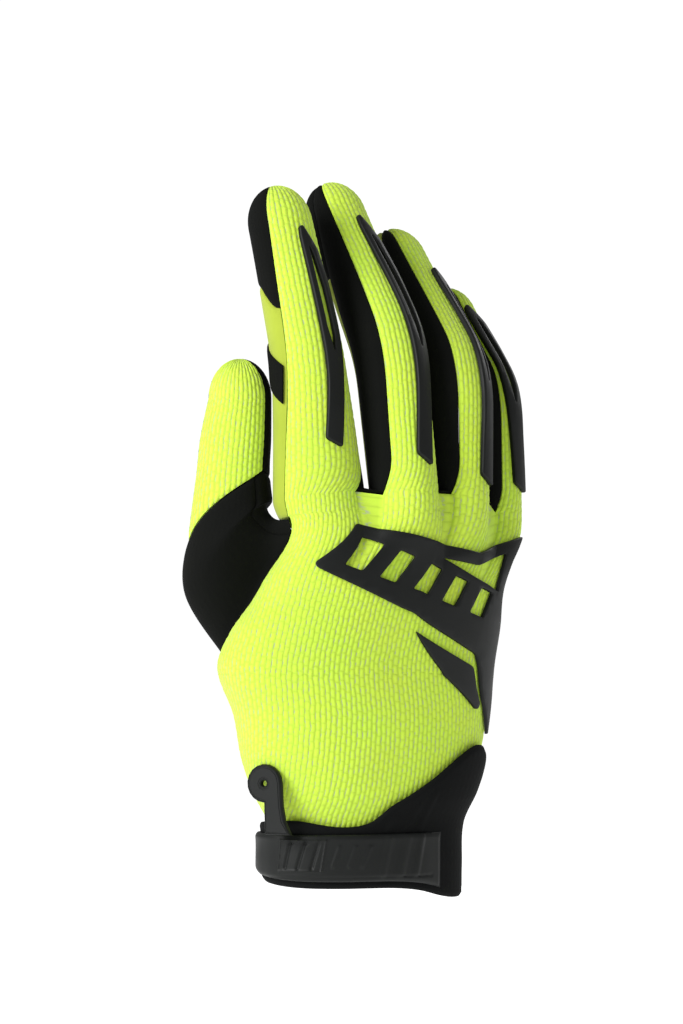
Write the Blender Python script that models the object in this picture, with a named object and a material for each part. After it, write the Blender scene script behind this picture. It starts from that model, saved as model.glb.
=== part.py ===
"""Motocross glove for the right hand: knit back, suede palm, rubber guards and a neoprene cuff.

The wrist opening is centred on the origin and +Z runs to the fingertips. The back of the hand
faces -Y and the thumb is on the -X side. Lengths are metres and angles are degrees. Angles round a
section are 0 on the back and grow towards the little finger.
"""
import math
import bpy
import bmesh
from mathutils import Vector

# Driving sizes of the hand
HAND_LENGTH = 0.132
KNUCKLE_WIDTH = 0.090
HAND_DEPTH = 0.040
FINGER_WIDTH = 0.0240
MIDDLE_LENGTH = 0.108
THUMB_LENGTH = 0.078
THUMB_WIDTH = 0.0244

# Walls and clearances
FABRIC = 0.0012
SEAM_GAP = 0.0003
CUFF_EASE = 0.0007
PLATE_EASE = 0.0006
CUFF_WALL = 0.0022
STRAP_WALL = 0.0016
RUBBER = 0.0016
PLATE_WALL = 0.0011

# Cuff, strap and pull tab
CUFF_HEIGHT = 0.0225
CUFF_SWAY = 0.0060
WING_RISE = 0.0260
STRAP_MARGIN = 0.0024
STRAP_TOP = 0.0200
STRAP_FROM = -196.0
STRAP_TO = 28.0
STRAP_FADE = 22.0
STRAP_THIN = 0.30
TAB_RADIUS = 0.0064
TAB_HOLE = 0.0010
TAB_RISE = 2.1
TAB_WALL = 0.0018
TAB_FACING = -58.0
TAB_TURN = -72.0
TAB_ARC_STEPS = 14

# Finger guards and plates
GUARD_WIDTH = 0.0072
BAND_WIDTH = 0.0105
PLATE_WIDTH = 0.082
PLATE_HEIGHT = 0.0703
VENT_COUNT = 5

# Seams round the hand
RADIAL_SEAM = -122.0
ULNAR_SEAM = 95.0
OVAL_POWER = 2.25
CUFF_SLIT = -168.0
CUFF_SLIT_WIDTH = 4.0

# The hole for the thumb lies on the radial seam
HOLE_CENTRE = 0.0995
HOLE_HEIGHT = 0.053
HOLE_BACK = 15.0
HOLE_PALM = 50.0
HOLE_BLUNT = 0.75
HOLE_FADE = 1.5

# Hand sections: height as a share of HAND_LENGTH, centre_x and half_width as shares of
# KNUCKLE_WIDTH, centre_y and half_depth as shares of HAND_DEPTH
HAND_SECTIONS = (
    # height, centre_x, centre_y, half_width, half_depth
    (0.00, 0.000, 0.000, 0.366, 0.485),
    (0.06, 0.000, 0.000, 0.367, 0.487),
    (0.17, 0.000, 0.000, 0.374, 0.500),
    (0.25, -0.004, -0.010, 0.432, 0.575),
    (0.34, -0.010, -0.025, 0.480, 0.610),
    (0.45, -0.018, -0.050, 0.512, 0.620),
    (0.57, -0.054, -0.100, 0.558, 0.615),
    (0.66, -0.028, -0.150, 0.545, 0.585),
    (0.75, 0.022, -0.190, 0.503, 0.545),
    (0.89, 0.100, -0.240, 0.480, 0.470),
    (1.00, 0.145, -0.262, 0.488, 0.438),
)

# Fingers: root places as shares of KNUCKLE_WIDTH, HAND_DEPTH and HAND_LENGTH, core as a share of
# MIDDLE_LENGTH, bend_at as a share of the core, widths and depths as shares of FINGER_WIDTH at
# the root, the middle joint and the tip, and the four seams at the same three places
FINGERS = {
    "index": {
        "root": (-0.214, -0.195, 1.000), "core": 0.872, "bend_at": 0.50,
        "splay": -3.0, "lean": 8.0, "bend": 10.0, "roll": -10.0,
        "half_width": (0.580, 0.512, 0.455), "half_depth": (0.530, 0.500, 0.430),
        "back_thumbward": (-66.0, -52.0, -38.0), "back_outward": (72.0, 76.0, 80.0),
        "palm_outward": (122.0, 122.0, 98.0), "palm_thumbward": (-66.0, -52.0, -38.0),
    },
    "middle": {
        "root": (0.064, -0.450, 1.000), "core": 1.000, "bend_at": 0.44,
        "splay": 0.0, "lean": 11.0, "bend": 26.0, "roll": 5.0,
        "half_width": (0.462, 0.500, 0.436), "half_depth": (0.520, 0.500, 0.410),
        "back_thumbward": (-56.0, -44.0, -50.0), "back_outward": (68.0, 76.0, 80.0),
        "palm_outward": (120.0, 122.0, 98.0), "palm_thumbward": (-122.0, -120.0, -68.0),
    },
    "ring": {
        "root": (0.307, -0.375, 1.000), "core": 0.890, "bend_at": 0.41,
        "splay": 2.0, "lean": 5.0, "bend": 39.0, "roll": 18.0,
        "half_width": (0.430, 0.470, 0.425), "half_depth": (0.500, 0.470, 0.400),
        "back_thumbward": (-45.0, -42.0, -48.0), "back_outward": (50.0, 70.0, 78.0),
        "palm_outward": (118.0, 120.0, 96.0), "palm_thumbward": (-122.0, -120.0, -66.0),
    },
    "little": {
        "root": (0.529, -0.110, 0.953), "core": 0.730, "bend_at": 0.48,
        "splay": 3.0, "lean": 5.0, "bend": 38.0, "roll": 36.0,
        "half_width": (0.412, 0.412, 0.375), "half_depth": (0.460, 0.420, 0.355),
        "back_thumbward": (-45.0, -44.0, -48.0), "back_outward": (92.0, 94.0, 96.0),
        "palm_outward": (92.0, 94.0, 96.0), "palm_thumbward": (-122.0, -118.0, -66.0),
    },
}
FINGER_ORDER = ("index", "middle", "ring", "little")
CORE_SHARE = 0.84
ROOT_BLEND = 0.78
ROOT_POWER = 1.3
INDEX_FLARE = 0.0018
FLARE_REACH = 0.45
FLARE_POWER = 1.5
CROTCH_ROUND = 0.10
CROTCH_BACK = 38.0
CROTCH_PALM = 20.0
WEB_SHARE = 0.05
HALF_GIRTH = 1.26
BEND_SPREAD = 0.13
TIP_STRETCH = 1.25
TIP_TURN = 84.0

# The thumb's middle line: centre as shares of KNUCKLE_WIDTH, HAND_DEPTH and THUMB_LENGTH above
# the hole's centre, half sizes as shares of THUMB_WIDTH, and the tilt of the section's width
THUMB_STATIONS = (
    # centre_x, centre_y, rise, half_width, half_depth, tilt
    (-0.360, 0.300, -0.030, 0.980, 0.400, 90.0),
    (-0.500, 0.300, 0.170, 0.870, 0.570, 52.0),
    (-0.482, 0.325, 0.333, 0.635, 0.540, 24.0),
    (-0.479, 0.300, 0.500, 0.520, 0.505, 8.0),
    (-0.459, 0.325, 0.673, 0.490, 0.480, 0.0),
    (-0.440, 0.330, 0.840, 0.435, 0.420, 0.0),
)
THUMB_ROLL = -45.0
THUMB_JOIN_LOW = 0.37
THUMB_JOIN_HIGH = 0.61
RIM_BLEND = 0.22
RIM_MITRE = 0.7

# Seams round the thumb, as counts of equal steps round it
THUMB_STEPS = 20
THUMB_BACK_FROM = -4
THUMB_BACK_TO = 4
CROTCH_FROM = 3
CROTCH_TO = 7

# Finger guards: bottom and top as shares of the finger's core, and the angle of their middle
# line off the finger's back at the root, the middle joint and the tip
GUARDS = {
    "index": {"bottom": 0.155, "top": 0.955, "lie": (0.0, 24.0, 27.0)},
    "middle": {"bottom": 0.075, "top": 0.925, "lie": (-2.0, 22.0, 8.0)},
    "ring": {"bottom": 0.030, "top": 0.860, "lie": (6.0, 22.0, 6.0)},
    "little": {"bottom": 0.090, "top": 0.950, "lie": (-6.0, -18.0, -30.0)},
}
# Outline of a guard: across as a share of GUARD_WIDTH, along as a share of its length
GUARD_OUTLINE = (
    (0.40, 0.000), (0.42, 0.300), (0.50, 0.480), (0.50, 0.720), (0.28, 0.880),
    (-0.26, 1.000), (-0.44, 0.995), (-0.50, 0.950), (-0.50, 0.500), (-0.40, 0.300), (-0.38, 0.045),
)
GUARD_SLOT = (
    (0.00, 0.420), (0.16, 0.480), (0.16, 0.700), (-0.04, 0.855), (-0.20, 0.900), (-0.18, 0.520),
)
# Outline of the hand plate and its shard: across as a share of PLATE_WIDTH from the middle of
# the hand's back, height as a share of PLATE_HEIGHT above PLATE_FOOT
PLATE_FOOT = 0.0517
BACK_GIRTH = 1.32
PLATE_OUTLINE = (
    (-0.323, 1.000), (0.045, 0.920), (0.294, 0.875), (0.530, 0.950), (0.515, 0.835), (0.535, 0.711),
    (0.556, 0.555), (0.553, 0.235), (0.549, 0.000), (0.530, 0.020), (0.466, 0.172), (0.433, 0.336),
    (0.407, 0.393), (0.057, 0.583), (-0.430, 0.811), (-0.451, 0.834),
)
PLATE_NOTCH = ((0.105, 0.851), (0.316, 0.817), (0.445, 0.866), (0.482, 0.691))
SHARD_OUTLINE = ((0.075, 0.510), (0.398, 0.335), (0.446, 0.150), (0.428, 0.125))
VENT_LINE = ((-0.270, 0.868), (0.385, 0.640))
VENT_SLOPE = -17.0
VENT_LEAN = 22.0
VENT_WIDTH = 0.0068
VENT_HEIGHT = 0.0088

# The cuff's edges at angles round it: the bottom as a share of CUFF_SWAY, and the top as a share
# of WING_RISE above CUFF_HEIGHT
CUFF_EDGES = (
    # angle, bottom, top
    (-200.0, 1.00, 0.00), (-160.0, 1.00, 0.00), (-120.0, 0.88, 0.02), (-90.0, 0.55, 0.06),
    (-60.0, 0.38, 0.08), (-30.0, 0.33, 0.00), (-12.0, 0.33, 0.06), (0.0, 0.30, 0.27),
    (15.0, 0.12, 0.52), (30.0, -0.20, 0.78), (42.0, -0.36, 0.97), (52.0, -0.40, 1.00),
    (60.0, -0.39, 0.86), (70.0, -0.36, 0.52), (84.0, -0.28, 0.25), (120.0, 0.25, 0.06),
    (150.0, 0.80, 0.00), (200.0, 1.00, 0.00),
)
# Outline of the pull tab's stem from the disc's right side to its foot and back up to the disc's
# lowest point: across as a share of TAB_RADIUS, along as a share of the stem's length
TAB_STEM = ((1.06, 0.42), (1.20, 0.72), (1.55, 1.00), (0.05, 1.00))

# How finely the walls are divided
FINGER_COLUMNS = {"back": 5, "palm": 4}
TIP_ROWS = 6
CUFF_COLUMNS = 36
CUFF_ROWS = 5
STRAP_COLUMNS = 26
STRAP_ROWS = 2
PLATE_STEP_ACROSS = 0.0058
PLATE_STEP_ALONG = 0.0085
GUARD_STEP_ALONG = 0.0080
LOW_ROWS = 0.52
HAND_ROWS = (0.060, 0.170, 0.250, 0.340, 0.450)
FINGER_ROWS = (0.0, 0.05, 0.12, 0.22, 0.32, 0.42, 0.52, 0.64, 0.75, 0.84, 0.91, 0.96, 1.0)
THUMB_ROWS = (0.0, 0.10, 0.24, 0.42, 0.62, 0.78, 0.88, 0.95, 1.0)


def clear_scene():
    """Remove every object of the open scene."""
    for item in list(bpy.data.objects):
        bpy.data.objects.remove(item, do_unlink=True)


def finish(name, colour, roughness, metallic=0.0):
    """A Principled material with one plain colour."""
    material = bpy.data.materials.new(name)
    material.use_nodes = True
    shader = material.node_tree.nodes["Principled BSDF"]
    shader.inputs["Base Color"].default_value = (*colour, 1.0)
    shader.inputs["Roughness"].default_value = roughness
    shader.inputs["Metallic"].default_value = metallic
    return material


def smooth_step(share):
    """0 below 0, 1 above 1 and an even curve between."""
    share = min(1.0, max(0.0, share))
    return share * share * (3.0 - 2.0 * share)


def through(values, share):
    """A smooth curve through evenly spaced values."""
    last = len(values) - 1
    place = min(1.0, max(0.0, share)) * last
    step = min(last - 1, int(place))
    t = place - step
    before = values[max(0, step - 1)]
    here = values[step]
    after = values[step + 1]
    beyond = values[min(last, step + 2)]
    return (here + 0.5 * t * (after - before + t * (2 * before - 5 * here + 4 * after - beyond
            + t * (3 * here - before - 3 * after + beyond))))


def table_at(table, place):
    """The columns of a table at a place between its first column's values, on smooth curves."""
    place = min(table[-1][0], max(table[0][0], place))
    step = 0
    while step < len(table) - 2 and place > table[step + 1][0]:
        step += 1
    low, high = table[step], table[step + 1]
    before, beyond = table[max(0, step - 1)], table[min(len(table) - 1, step + 2)]
    span = high[0] - low[0]
    t = (place - low[0]) / span
    sizes = []
    for column in range(1, len(low)):
        slope_low = (high[column] - before[column]) / (high[0] - before[0]) * span
        slope_high = (beyond[column] - low[column]) / (beyond[0] - low[0]) * span
        sizes.append((2 * t ** 3 - 3 * t ** 2 + 1) * low[column] + (t ** 3 - 2 * t ** 2 + t) * slope_low
                     + (3 * t ** 2 - 2 * t ** 3) * high[column] + (t ** 3 - t ** 2) * slope_high)
    return sizes


def section_at(height):
    """Centre and half sizes of the hand's oval at a height above the wrist edge."""
    centre_x, centre_y, half_width, half_depth = table_at(HAND_SECTIONS, height / HAND_LENGTH)
    return (centre_x * KNUCKLE_WIDTH, centre_y * HAND_DEPTH,
            half_width * KNUCKLE_WIDTH, half_depth * HAND_DEPTH)


def oval_point(height, angle, depth):
    """A point of the hand's oval, depth inside its outer face."""
    centre_x, centre_y, half_width, half_depth = section_at(height)
    side, back = math.sin(math.radians(angle)), math.cos(math.radians(angle))
    power = 2.0 / OVAL_POWER
    x = centre_x + (half_width - depth) * math.copysign(abs(side) ** power, side)
    y = centre_y - (half_depth - depth) * math.copysign(abs(back) ** power, back)
    return Vector((x, y, height))


ARC_STEPS = 60
arc_tables = {}


def angle_at_share(height, start, end, share):
    """The angle that lies a share of the way along the oval's edge from start to end."""
    key = (round(height, 7), round(start, 4), round(end, 4))
    if key not in arc_tables:
        lengths = [0.0]
        last = oval_point(height, start, 0.0)
        for step in range(1, ARC_STEPS + 1):
            point = oval_point(height, start + (end - start) * step / ARC_STEPS, 0.0)
            lengths.append(lengths[-1] + (point - last).length)
            last = point
        arc_tables[key] = lengths
    lengths = arc_tables[key]
    target = share * lengths[-1]
    step = 0
    while step < ARC_STEPS - 1 and lengths[step + 1] < target:
        step += 1
    part = (target - lengths[step]) / (lengths[step + 1] - lengths[step])
    return start + (end - start) * (step + part) / ARC_STEPS


LINE_STEPS = 80
finger_lines = {}


def finger_line(name):
    """Points and directions along a finger's middle line, evenly spaced."""
    if name not in finger_lines:
        finger = FINGERS[name]
        root_x, root_y, root_z = finger["root"]
        point = Vector((root_x * KNUCKLE_WIDTH, root_y * HAND_DEPTH, root_z * HAND_LENGTH))
        length = finger["core"] * MIDDLE_LENGTH
        points, directions = [], []
        for step in range(LINE_STEPS + 1):
            share = step / LINE_STEPS
            turn = smooth_step((share - finger["bend_at"] + BEND_SPREAD) / (2 * BEND_SPREAD))
            pitch = math.radians(finger["lean"] + finger["bend"] * turn)
            across = math.tan(math.radians(finger["splay"])) * math.cos(pitch)
            direction = Vector((across, math.sin(pitch), math.cos(pitch))).normalized()
            points.append(point.copy())
            directions.append(direction)
            point += direction * (length / LINE_STEPS)
        finger_lines[name] = (points, directions, length)
    return finger_lines[name]


def finger_point(name, angle, travel, depth):
    """A point of a finger's tube. Travel is 0 at the root, CORE_SHARE where the tip begins to
    round off and 1 at its end; below 0 the tube runs straight on into the hand."""
    finger = FINGERS[name]
    points, directions, length = finger_line(name)
    core = min(1.0, travel / CORE_SHARE)
    step = min(LINE_STEPS - 1, max(0, int(core * LINE_STEPS)))
    part = max(0.0, core * LINE_STEPS - step)
    centre = points[step].lerp(points[step + 1], part)
    ahead = directions[step].lerp(directions[step + 1], part).normalized()
    half_width = through(finger["half_width"], core) * FINGER_WIDTH - depth
    half_depth = through(finger["half_depth"], core) * FINGER_WIDTH - depth
    if travel < 0.0:
        centre = points[0] + directions[0] * (core * length)
        ahead = directions[0]
    flare = 0.0
    if name == "index":
        flare = INDEX_FLARE * max(0.0, 1.0 - max(0.0, travel) / FLARE_REACH) ** FLARE_POWER
        half_width += flare
    if travel > CORE_SHARE:
        turn = math.radians(TIP_TURN * (travel - CORE_SHARE) / (1.0 - CORE_SHARE))
        centre = centre + ahead * (half_width * TIP_STRETCH * math.sin(turn))
        half_width *= math.cos(turn)
        half_depth *= math.cos(turn)
    roll = math.radians(finger["roll"])
    back = Vector((math.sin(roll), -math.cos(roll), 0.0))
    back = (back - ahead * back.dot(ahead)).normalized()
    side = ahead.cross(back)
    turn = math.radians(angle)
    return centre + side * (half_width * math.sin(turn) - flare) + back * (half_depth * math.cos(turn))


def facing_angle(name, other):
    """The angle round one finger's root that faces the root of the next finger."""
    here, there = FINGERS[name]["root"], FINGERS[other]["root"]
    towards_x = (there[0] - here[0]) * KNUCKLE_WIDTH
    towards_y = (there[1] - here[1]) * HAND_DEPTH
    return math.degrees(math.atan2(towards_x, -towards_y)) - FINGERS[name]["roll"]


def seam_angle(name, seam, travel):
    """A finger's seam angle at a travel along it. The seams beside a fourchette close in on each
    other round the crotch, where the two fingers face each other."""
    angle = through(FINGERS[name][seam], travel)
    outward, on_back = seam.endswith("outward"), seam.startswith("back")
    neighbour = FINGER_ORDER.index(name) + (1 if outward else -1)
    if neighbour < 0 or neighbour >= len(FINGER_ORDER):
        return angle
    half = CROTCH_BACK if on_back else CROTCH_PALM
    direction = -1.0 if outward == on_back else 1.0
    closed = facing_angle(name, FINGER_ORDER[neighbour]) + direction * half
    sharpness = max(0.0, 1.0 - travel / CROTCH_ROUND) ** 2
    return angle + (closed - angle) * sharpness


def side_shares(side):
    """Where each finger begins and ends across one side of the hand, as shares of the whole."""
    spans = []
    for name in FINGER_ORDER:
        finger = FINGERS[name]
        radius = 0.5 * (finger["half_width"][0] + finger["half_depth"][0]) * FINGER_WIDTH
        start = finger[side + "_thumbward"][0]
        end = finger[side + "_outward"][0]
        if side == "palm":
            start, end = start + 360.0, end
        spans.append(abs(math.radians(end - start)) * radius)
    web = WEB_SHARE * FINGER_WIDTH
    total = sum(spans) + web * (len(spans) - 1)
    shares = []
    travelled = 0.0
    for span in spans:
        shares.append((travelled / total, (travelled + span) / total))
        travelled += span + web
    return shares


SIDE_SHARES = {"back": side_shares("back"), "palm": side_shares("palm")}


def hole_spread(height):
    """1 at the middle of the thumb's hole, 0 at its two ends and beyond them."""
    offset = (height - HOLE_CENTRE) / (0.5 * HOLE_HEIGHT)
    return math.sqrt(max(0.0, 1.0 - offset * offset)) ** HOLE_BLUNT


def hole_opening(side, height):
    """How far the thumb's hole opens one side of the hand at a height, in degrees."""
    spread = hole_spread(height)
    return HOLE_BACK * spread if side == "back" else -HOLE_PALM * spread


def column_angle(name, side, across, travel, gap, opening=0.0):
    """The angle round a finger of a share across its back or its palm."""
    finger = FINGERS[name]
    start = seam_angle(name, side + "_thumbward", travel)
    end = seam_angle(name, side + "_outward", travel)
    if side == "palm":
        end -= 360.0
    if name == "index":
        start += opening
    radius = 0.5 * (finger["half_width"][1] + finger["half_depth"][1]) * FINGER_WIDTH
    inset = math.degrees(0.5 * gap / radius) * (1 if end > start else -1)
    return start + inset + (end - start - 2 * inset) * across


def hand_point(side, name, across, share, depth, gap=SEAM_GAP, opening=None):
    """A point of the hand below the finger roots. Share is the height as a share of the root's."""
    first, last = SIDE_SHARES[side][FINGER_ORDER.index(name)]
    root = FINGERS[name]["root"][2] * HAND_LENGTH
    height = share * root
    if opening is None:
        opening = hole_opening(side, share * HAND_LENGTH)
    end = ULNAR_SEAM if side == "back" else ULNAR_SEAM - 360.0
    place = first + (last - first) * across
    margin = 0.5 * gap / (HALF_GIRTH * KNUCKLE_WIDTH)
    place = margin + (1.0 - 2.0 * margin) * place
    angle = angle_at_share(height, RADIAL_SEAM, end, place) + opening * (1.0 - place) ** HOLE_FADE
    low = oval_point(height, angle, depth)
    weight = smooth_step((share - ROOT_BLEND) / (1.0 - ROOT_BLEND)) ** ROOT_POWER
    if weight <= 0.0:
        return low
    points, directions, length = finger_line(name)
    travel = (height - root) / directions[0].z / length * CORE_SHARE
    high = finger_point(name, column_angle(name, side, across, 0.0, gap, opening), travel, depth)
    return low.lerp(high, weight)


def hole_heights():
    """Row heights that follow the rim of the thumb's hole."""
    heights = []
    steps = THUMB_STEPS // 2
    for step in range(steps + 1):
        turn = math.radians(-90.0 + 180.0 * step / steps)
        heights.append((HOLE_CENTRE + 0.5 * HOLE_HEIGHT * math.sin(turn)) / HAND_LENGTH)
    return heights


def hand_rows():
    """Heights of the hand's rows as shares of the root's height."""
    rows = list(HAND_ROWS) + hole_heights()
    rows.append(0.5 * (rows[-1] + 1.0))
    return rows


def grid_sheet(columns, rows):
    """A flat sheet whose vertices count its columns along X and its rows along Y."""
    sheet = bmesh.new()
    bmesh.ops.create_grid(sheet, x_segments=columns, y_segments=rows, size=0.5)
    for vert in sheet.verts:
        vert.co.x = round((vert.co.x + 0.5) * columns)
        vert.co.y = round((vert.co.y + 0.5) * rows)
    return sheet


def outline_sheet(outline, holes, step_x, step_y):
    """A flat sheet with an outline and holes, divided by lines a step apart so that it can bend."""
    sheet = bmesh.new()
    edges = []
    for loop in (outline, *holes):
        verts = [sheet.verts.new((x, y, 0.0)) for x, y in loop]
        for number, vert in enumerate(verts):
            edges.append(sheet.edges.new((vert, verts[(number + 1) % len(verts)])))
    bmesh.ops.triangle_fill(sheet, use_beauty=True, use_dissolve=False, edges=edges)
    for axis, step in ((0, step_x), (1, step_y)):
        values = [point[axis] for point in outline]
        count = int(math.floor((max(values) - min(values)) / step))
        for number in range(1, count + 1):
            centre = Vector((0.0, 0.0, 0.0))
            centre[axis] = min(values) + number * (max(values) - min(values)) / (count + 1)
            normal = Vector((0.0, 0.0, 0.0))
            normal[axis] = 1.0
            geometry = sheet.verts[:] + sheet.edges[:] + sheet.faces[:]
            bmesh.ops.bisect_plane(sheet, geom=geometry, dist=1e-7, plane_co=centre, plane_no=normal)
    return sheet


def wall(name, sheet, place, outer, inner, material, smooth=True):
    """Thicken a flat sheet into a closed wall. Place turns a point of the sheet and a depth into
    a point in space."""
    made = bmesh.ops.extrude_face_region(sheet, geom=sheet.faces[:], use_keep_orig=True)
    lower = {item for item in made["geom"] if isinstance(item, bmesh.types.BMVert)}
    for vert in sheet.verts:
        vert.co = place(vert.co.x, vert.co.y, inner if vert in lower else outer)
    bmesh.ops.recalc_face_normals(sheet, faces=sheet.faces[:])
    if sheet.calc_volume(signed=True) < 0.0:
        bmesh.ops.reverse_faces(sheet, faces=sheet.faces[:])
    mesh = bpy.data.meshes.new(name)
    sheet.to_mesh(mesh)
    sheet.free()
    if smooth:
        mesh.shade_smooth()
        mesh.set_sharp_from_angle(angle=math.radians(45.0))
    mesh.materials.append(material)
    piece = bpy.data.objects.new(name, mesh)
    bpy.context.collection.objects.link(piece)
    return piece


def row_travel(row, top):
    """Rows near the root keep their places, so that they meet the side walls. The others share
    what is left below the top."""
    if row <= LOW_ROWS:
        return row
    return LOW_ROWS + (top - LOW_ROWS) * (row - LOW_ROWS) / (1.0 - LOW_ROWS)


def tongue_panel(name, side, tops, material):
    """The back or the palm of the hand with its four fingers, in one wall. Tops gives for each
    finger how far it runs up at a share across it."""
    rows = hand_rows()
    count = FINGER_COLUMNS[side]
    columns = len(FINGER_ORDER) * (count + 1) - 1
    sheet = grid_sheet(columns, len(rows) + len(FINGER_ROWS) - 1)
    webs = []
    for face in sheet.faces:
        centre = face.calc_center_median()
        if centre.y > len(rows) and int(centre.x) % (count + 1) == count:
            webs.append(face)
    bmesh.ops.delete(sheet, geom=webs, context="FACES")

    def place(column, row, depth):
        finger, local = divmod(int(round(column)), count + 1)
        finger_name = FINGER_ORDER[finger]
        across = local / count
        row = int(round(row))
        if row < len(rows):
            return hand_point(side, finger_name, across, rows[row], depth)
        travel = row_travel(FINGER_ROWS[row - len(rows)], tops[finger_name](across))
        angle = column_angle(finger_name, side, across, travel, SEAM_GAP)
        return finger_point(finger_name, angle, travel, depth)

    return wall(name, sheet, place, 0.0, FABRIC, material)


def full_length(across):
    """A finger wall that runs to the tip."""
    return 1.0


def index_tip_edge(across):
    """The lower edge of the index fingertip, lowest at the seam with the knit."""
    return 0.56 + 0.10 * smooth_step(across / 0.3)


def middle_tip_edge(across):
    """The lower edge of the middle fingertip."""
    return 0.64 + 0.03 * math.sin(math.pi * across)


def add_fingertip(name, finger_name, edge, material):
    """The black fingertip above the edge on a finger's palm side."""
    count = FINGER_COLUMNS["palm"]
    sheet = grid_sheet(count, TIP_ROWS)
    seam = SEAM_GAP / MIDDLE_LENGTH

    def place(column, row, depth):
        across = column / count
        low = edge(across) + seam
        travel = low + (1.0 - low) * row / TIP_ROWS
        angle = column_angle(finger_name, "palm", across, travel, SEAM_GAP)
        return finger_point(finger_name, angle, travel, depth)

    return wall(name, sheet, place, 0.0, FABRIC, material)


def add_fourchette(name, first, second, material):
    """The side wall that runs down one finger, through the crotch and up the next."""
    columns = 2
    count = len(FINGER_ROWS)
    sheet = grid_sheet(columns, 2 * count - 1)

    def place(column, row, depth):
        share = column / columns
        row = int(round(row))
        if row < count:
            finger_name, towards, travel = first, "outward", FINGER_ROWS[count - 1 - row]
        else:
            finger_name, towards, travel = second, "thumbward", FINGER_ROWS[row - count]
        finger = FINGERS[finger_name]
        start = seam_angle(finger_name, "back_" + towards, travel)
        end = seam_angle(finger_name, "palm_" + towards, travel)
        if travel == 0.0:
            travel = (SEAM_GAP + FABRIC - depth) * CORE_SHARE / (finger["core"] * MIDDLE_LENGTH)
            part = travel / FINGER_ROWS[1]
            start += (seam_angle(finger_name, "back_" + towards, FINGER_ROWS[1]) - start) * part
            end += (seam_angle(finger_name, "palm_" + towards, FINGER_ROWS[1]) - end) * part
        radius = 0.5 * (finger["half_width"][1] + finger["half_depth"][1]) * FINGER_WIDTH
        inset = math.degrees(0.5 * SEAM_GAP / radius) * (1 if end > start else -1)
        angle = start + inset + (end - start - 2 * inset) * share
        return finger_point(finger_name, angle, travel, depth)

    return wall(name, sheet, place, 0.0, FABRIC, material)


def rim_point(angle, depth, gap):
    """A point of the thumb hole's rim. The angle is 0 at its back edge and 90 at its top."""
    turn = math.radians(angle)
    inward = gap + RIM_MITRE * depth
    height = HOLE_CENTRE + (0.5 * HOLE_HEIGHT - inward) * math.sin(turn)
    side, direction = ("back", 1.0) if math.cos(turn) >= 0.0 else ("palm", -1.0)
    reach = (HOLE_BACK if side == "back" else HOLE_PALM) - math.degrees(inward / (0.5 * HAND_DEPTH))
    opening = direction * reach * abs(math.cos(turn)) ** HOLE_BLUNT
    return hand_point(side, "index", 0.0, height / HAND_LENGTH, (1.0 - RIM_MITRE) * depth, 0.0, opening)


def thumb_frame(travel):
    """Centre, directions and half sizes of the thumb at a travel along its middle line."""
    values = [through([row[column] for row in THUMB_STATIONS], travel) for column in range(6)]
    centre = Vector((values[0] * KNUCKLE_WIDTH, values[1] * HAND_DEPTH,
                     HOLE_CENTRE + values[2] * THUMB_LENGTH))
    roll, tilt = math.radians(THUMB_ROLL), math.radians(values[5])
    back = Vector((math.sin(roll), -math.cos(roll), 0.0))
    level = Vector((0.0, 0.0, 1.0)).cross(back)
    side = level * math.cos(tilt) + Vector((0.0, 0.0, math.sin(tilt)))
    return centre, back.cross(side), back, side, values[3] * THUMB_WIDTH, values[4] * THUMB_WIDTH


def thumb_point(angle, travel, depth):
    """A point of the thumb's tube. Travel is 0 at the rim of its hole and 1 at the tip's end."""
    core = min(1.0, travel / CORE_SHARE)
    centre, ahead, back, side, half_width, half_depth = thumb_frame(core)
    half_width -= depth
    half_depth -= depth
    if travel > CORE_SHARE:
        turn = math.radians(TIP_TURN * (travel - CORE_SHARE) / (1.0 - CORE_SHARE))
        centre = centre + ahead * (half_width * TIP_STRETCH * math.sin(turn))
        half_width *= math.cos(turn)
        half_depth *= math.cos(turn)
    turn = math.radians(angle)
    ring = centre + side * (half_width * math.sin(turn)) + back * (half_depth * math.cos(turn))
    weight = math.sin(0.5 * math.pi * min(1.0, core / RIM_BLEND))
    if weight >= 1.0:
        return ring
    return rim_point(angle, depth, 2.0 * SEAM_GAP).lerp(ring, weight)


def thumb_join(angle):
    """Where the black base of the thumb ends, as a travel at an angle round the thumb."""
    step = 360.0 / THUMB_STEPS
    angle = (angle - THUMB_BACK_FROM * step) % 360.0
    rise = (THUMB_BACK_TO - THUMB_BACK_FROM) * step
    if angle <= rise:
        share = angle / rise
    else:
        share = 1.0 - (angle - rise) / (360.0 - rise)
    return CORE_SHARE * (THUMB_JOIN_LOW + (THUMB_JOIN_HIGH - THUMB_JOIN_LOW) * share)


def add_thumb_piece(name, start, end, upper, material):
    """A piece of the thumb between two steps round it: its upper part or the black base below
    the join."""
    columns = end - start
    sheet = grid_sheet(columns, len(THUMB_ROWS) - 1)
    seam = SEAM_GAP / THUMB_LENGTH
    inset = math.degrees(0.5 * SEAM_GAP / (0.5 * THUMB_WIDTH))

    def place(column, row, depth):
        column = int(round(column))
        angle = (start + column) * 360.0 / THUMB_STEPS
        if column == 0:
            angle += inset
        if column == columns:
            angle -= inset
        join = thumb_join(angle)
        low, high = (join + seam, 1.0) if upper else (0.0, join - seam)
        travel = low + (high - low) * THUMB_ROWS[int(round(row))]
        return thumb_point(angle, travel, depth)

    return wall(name, sheet, place, 0.0, FABRIC, material)


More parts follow.
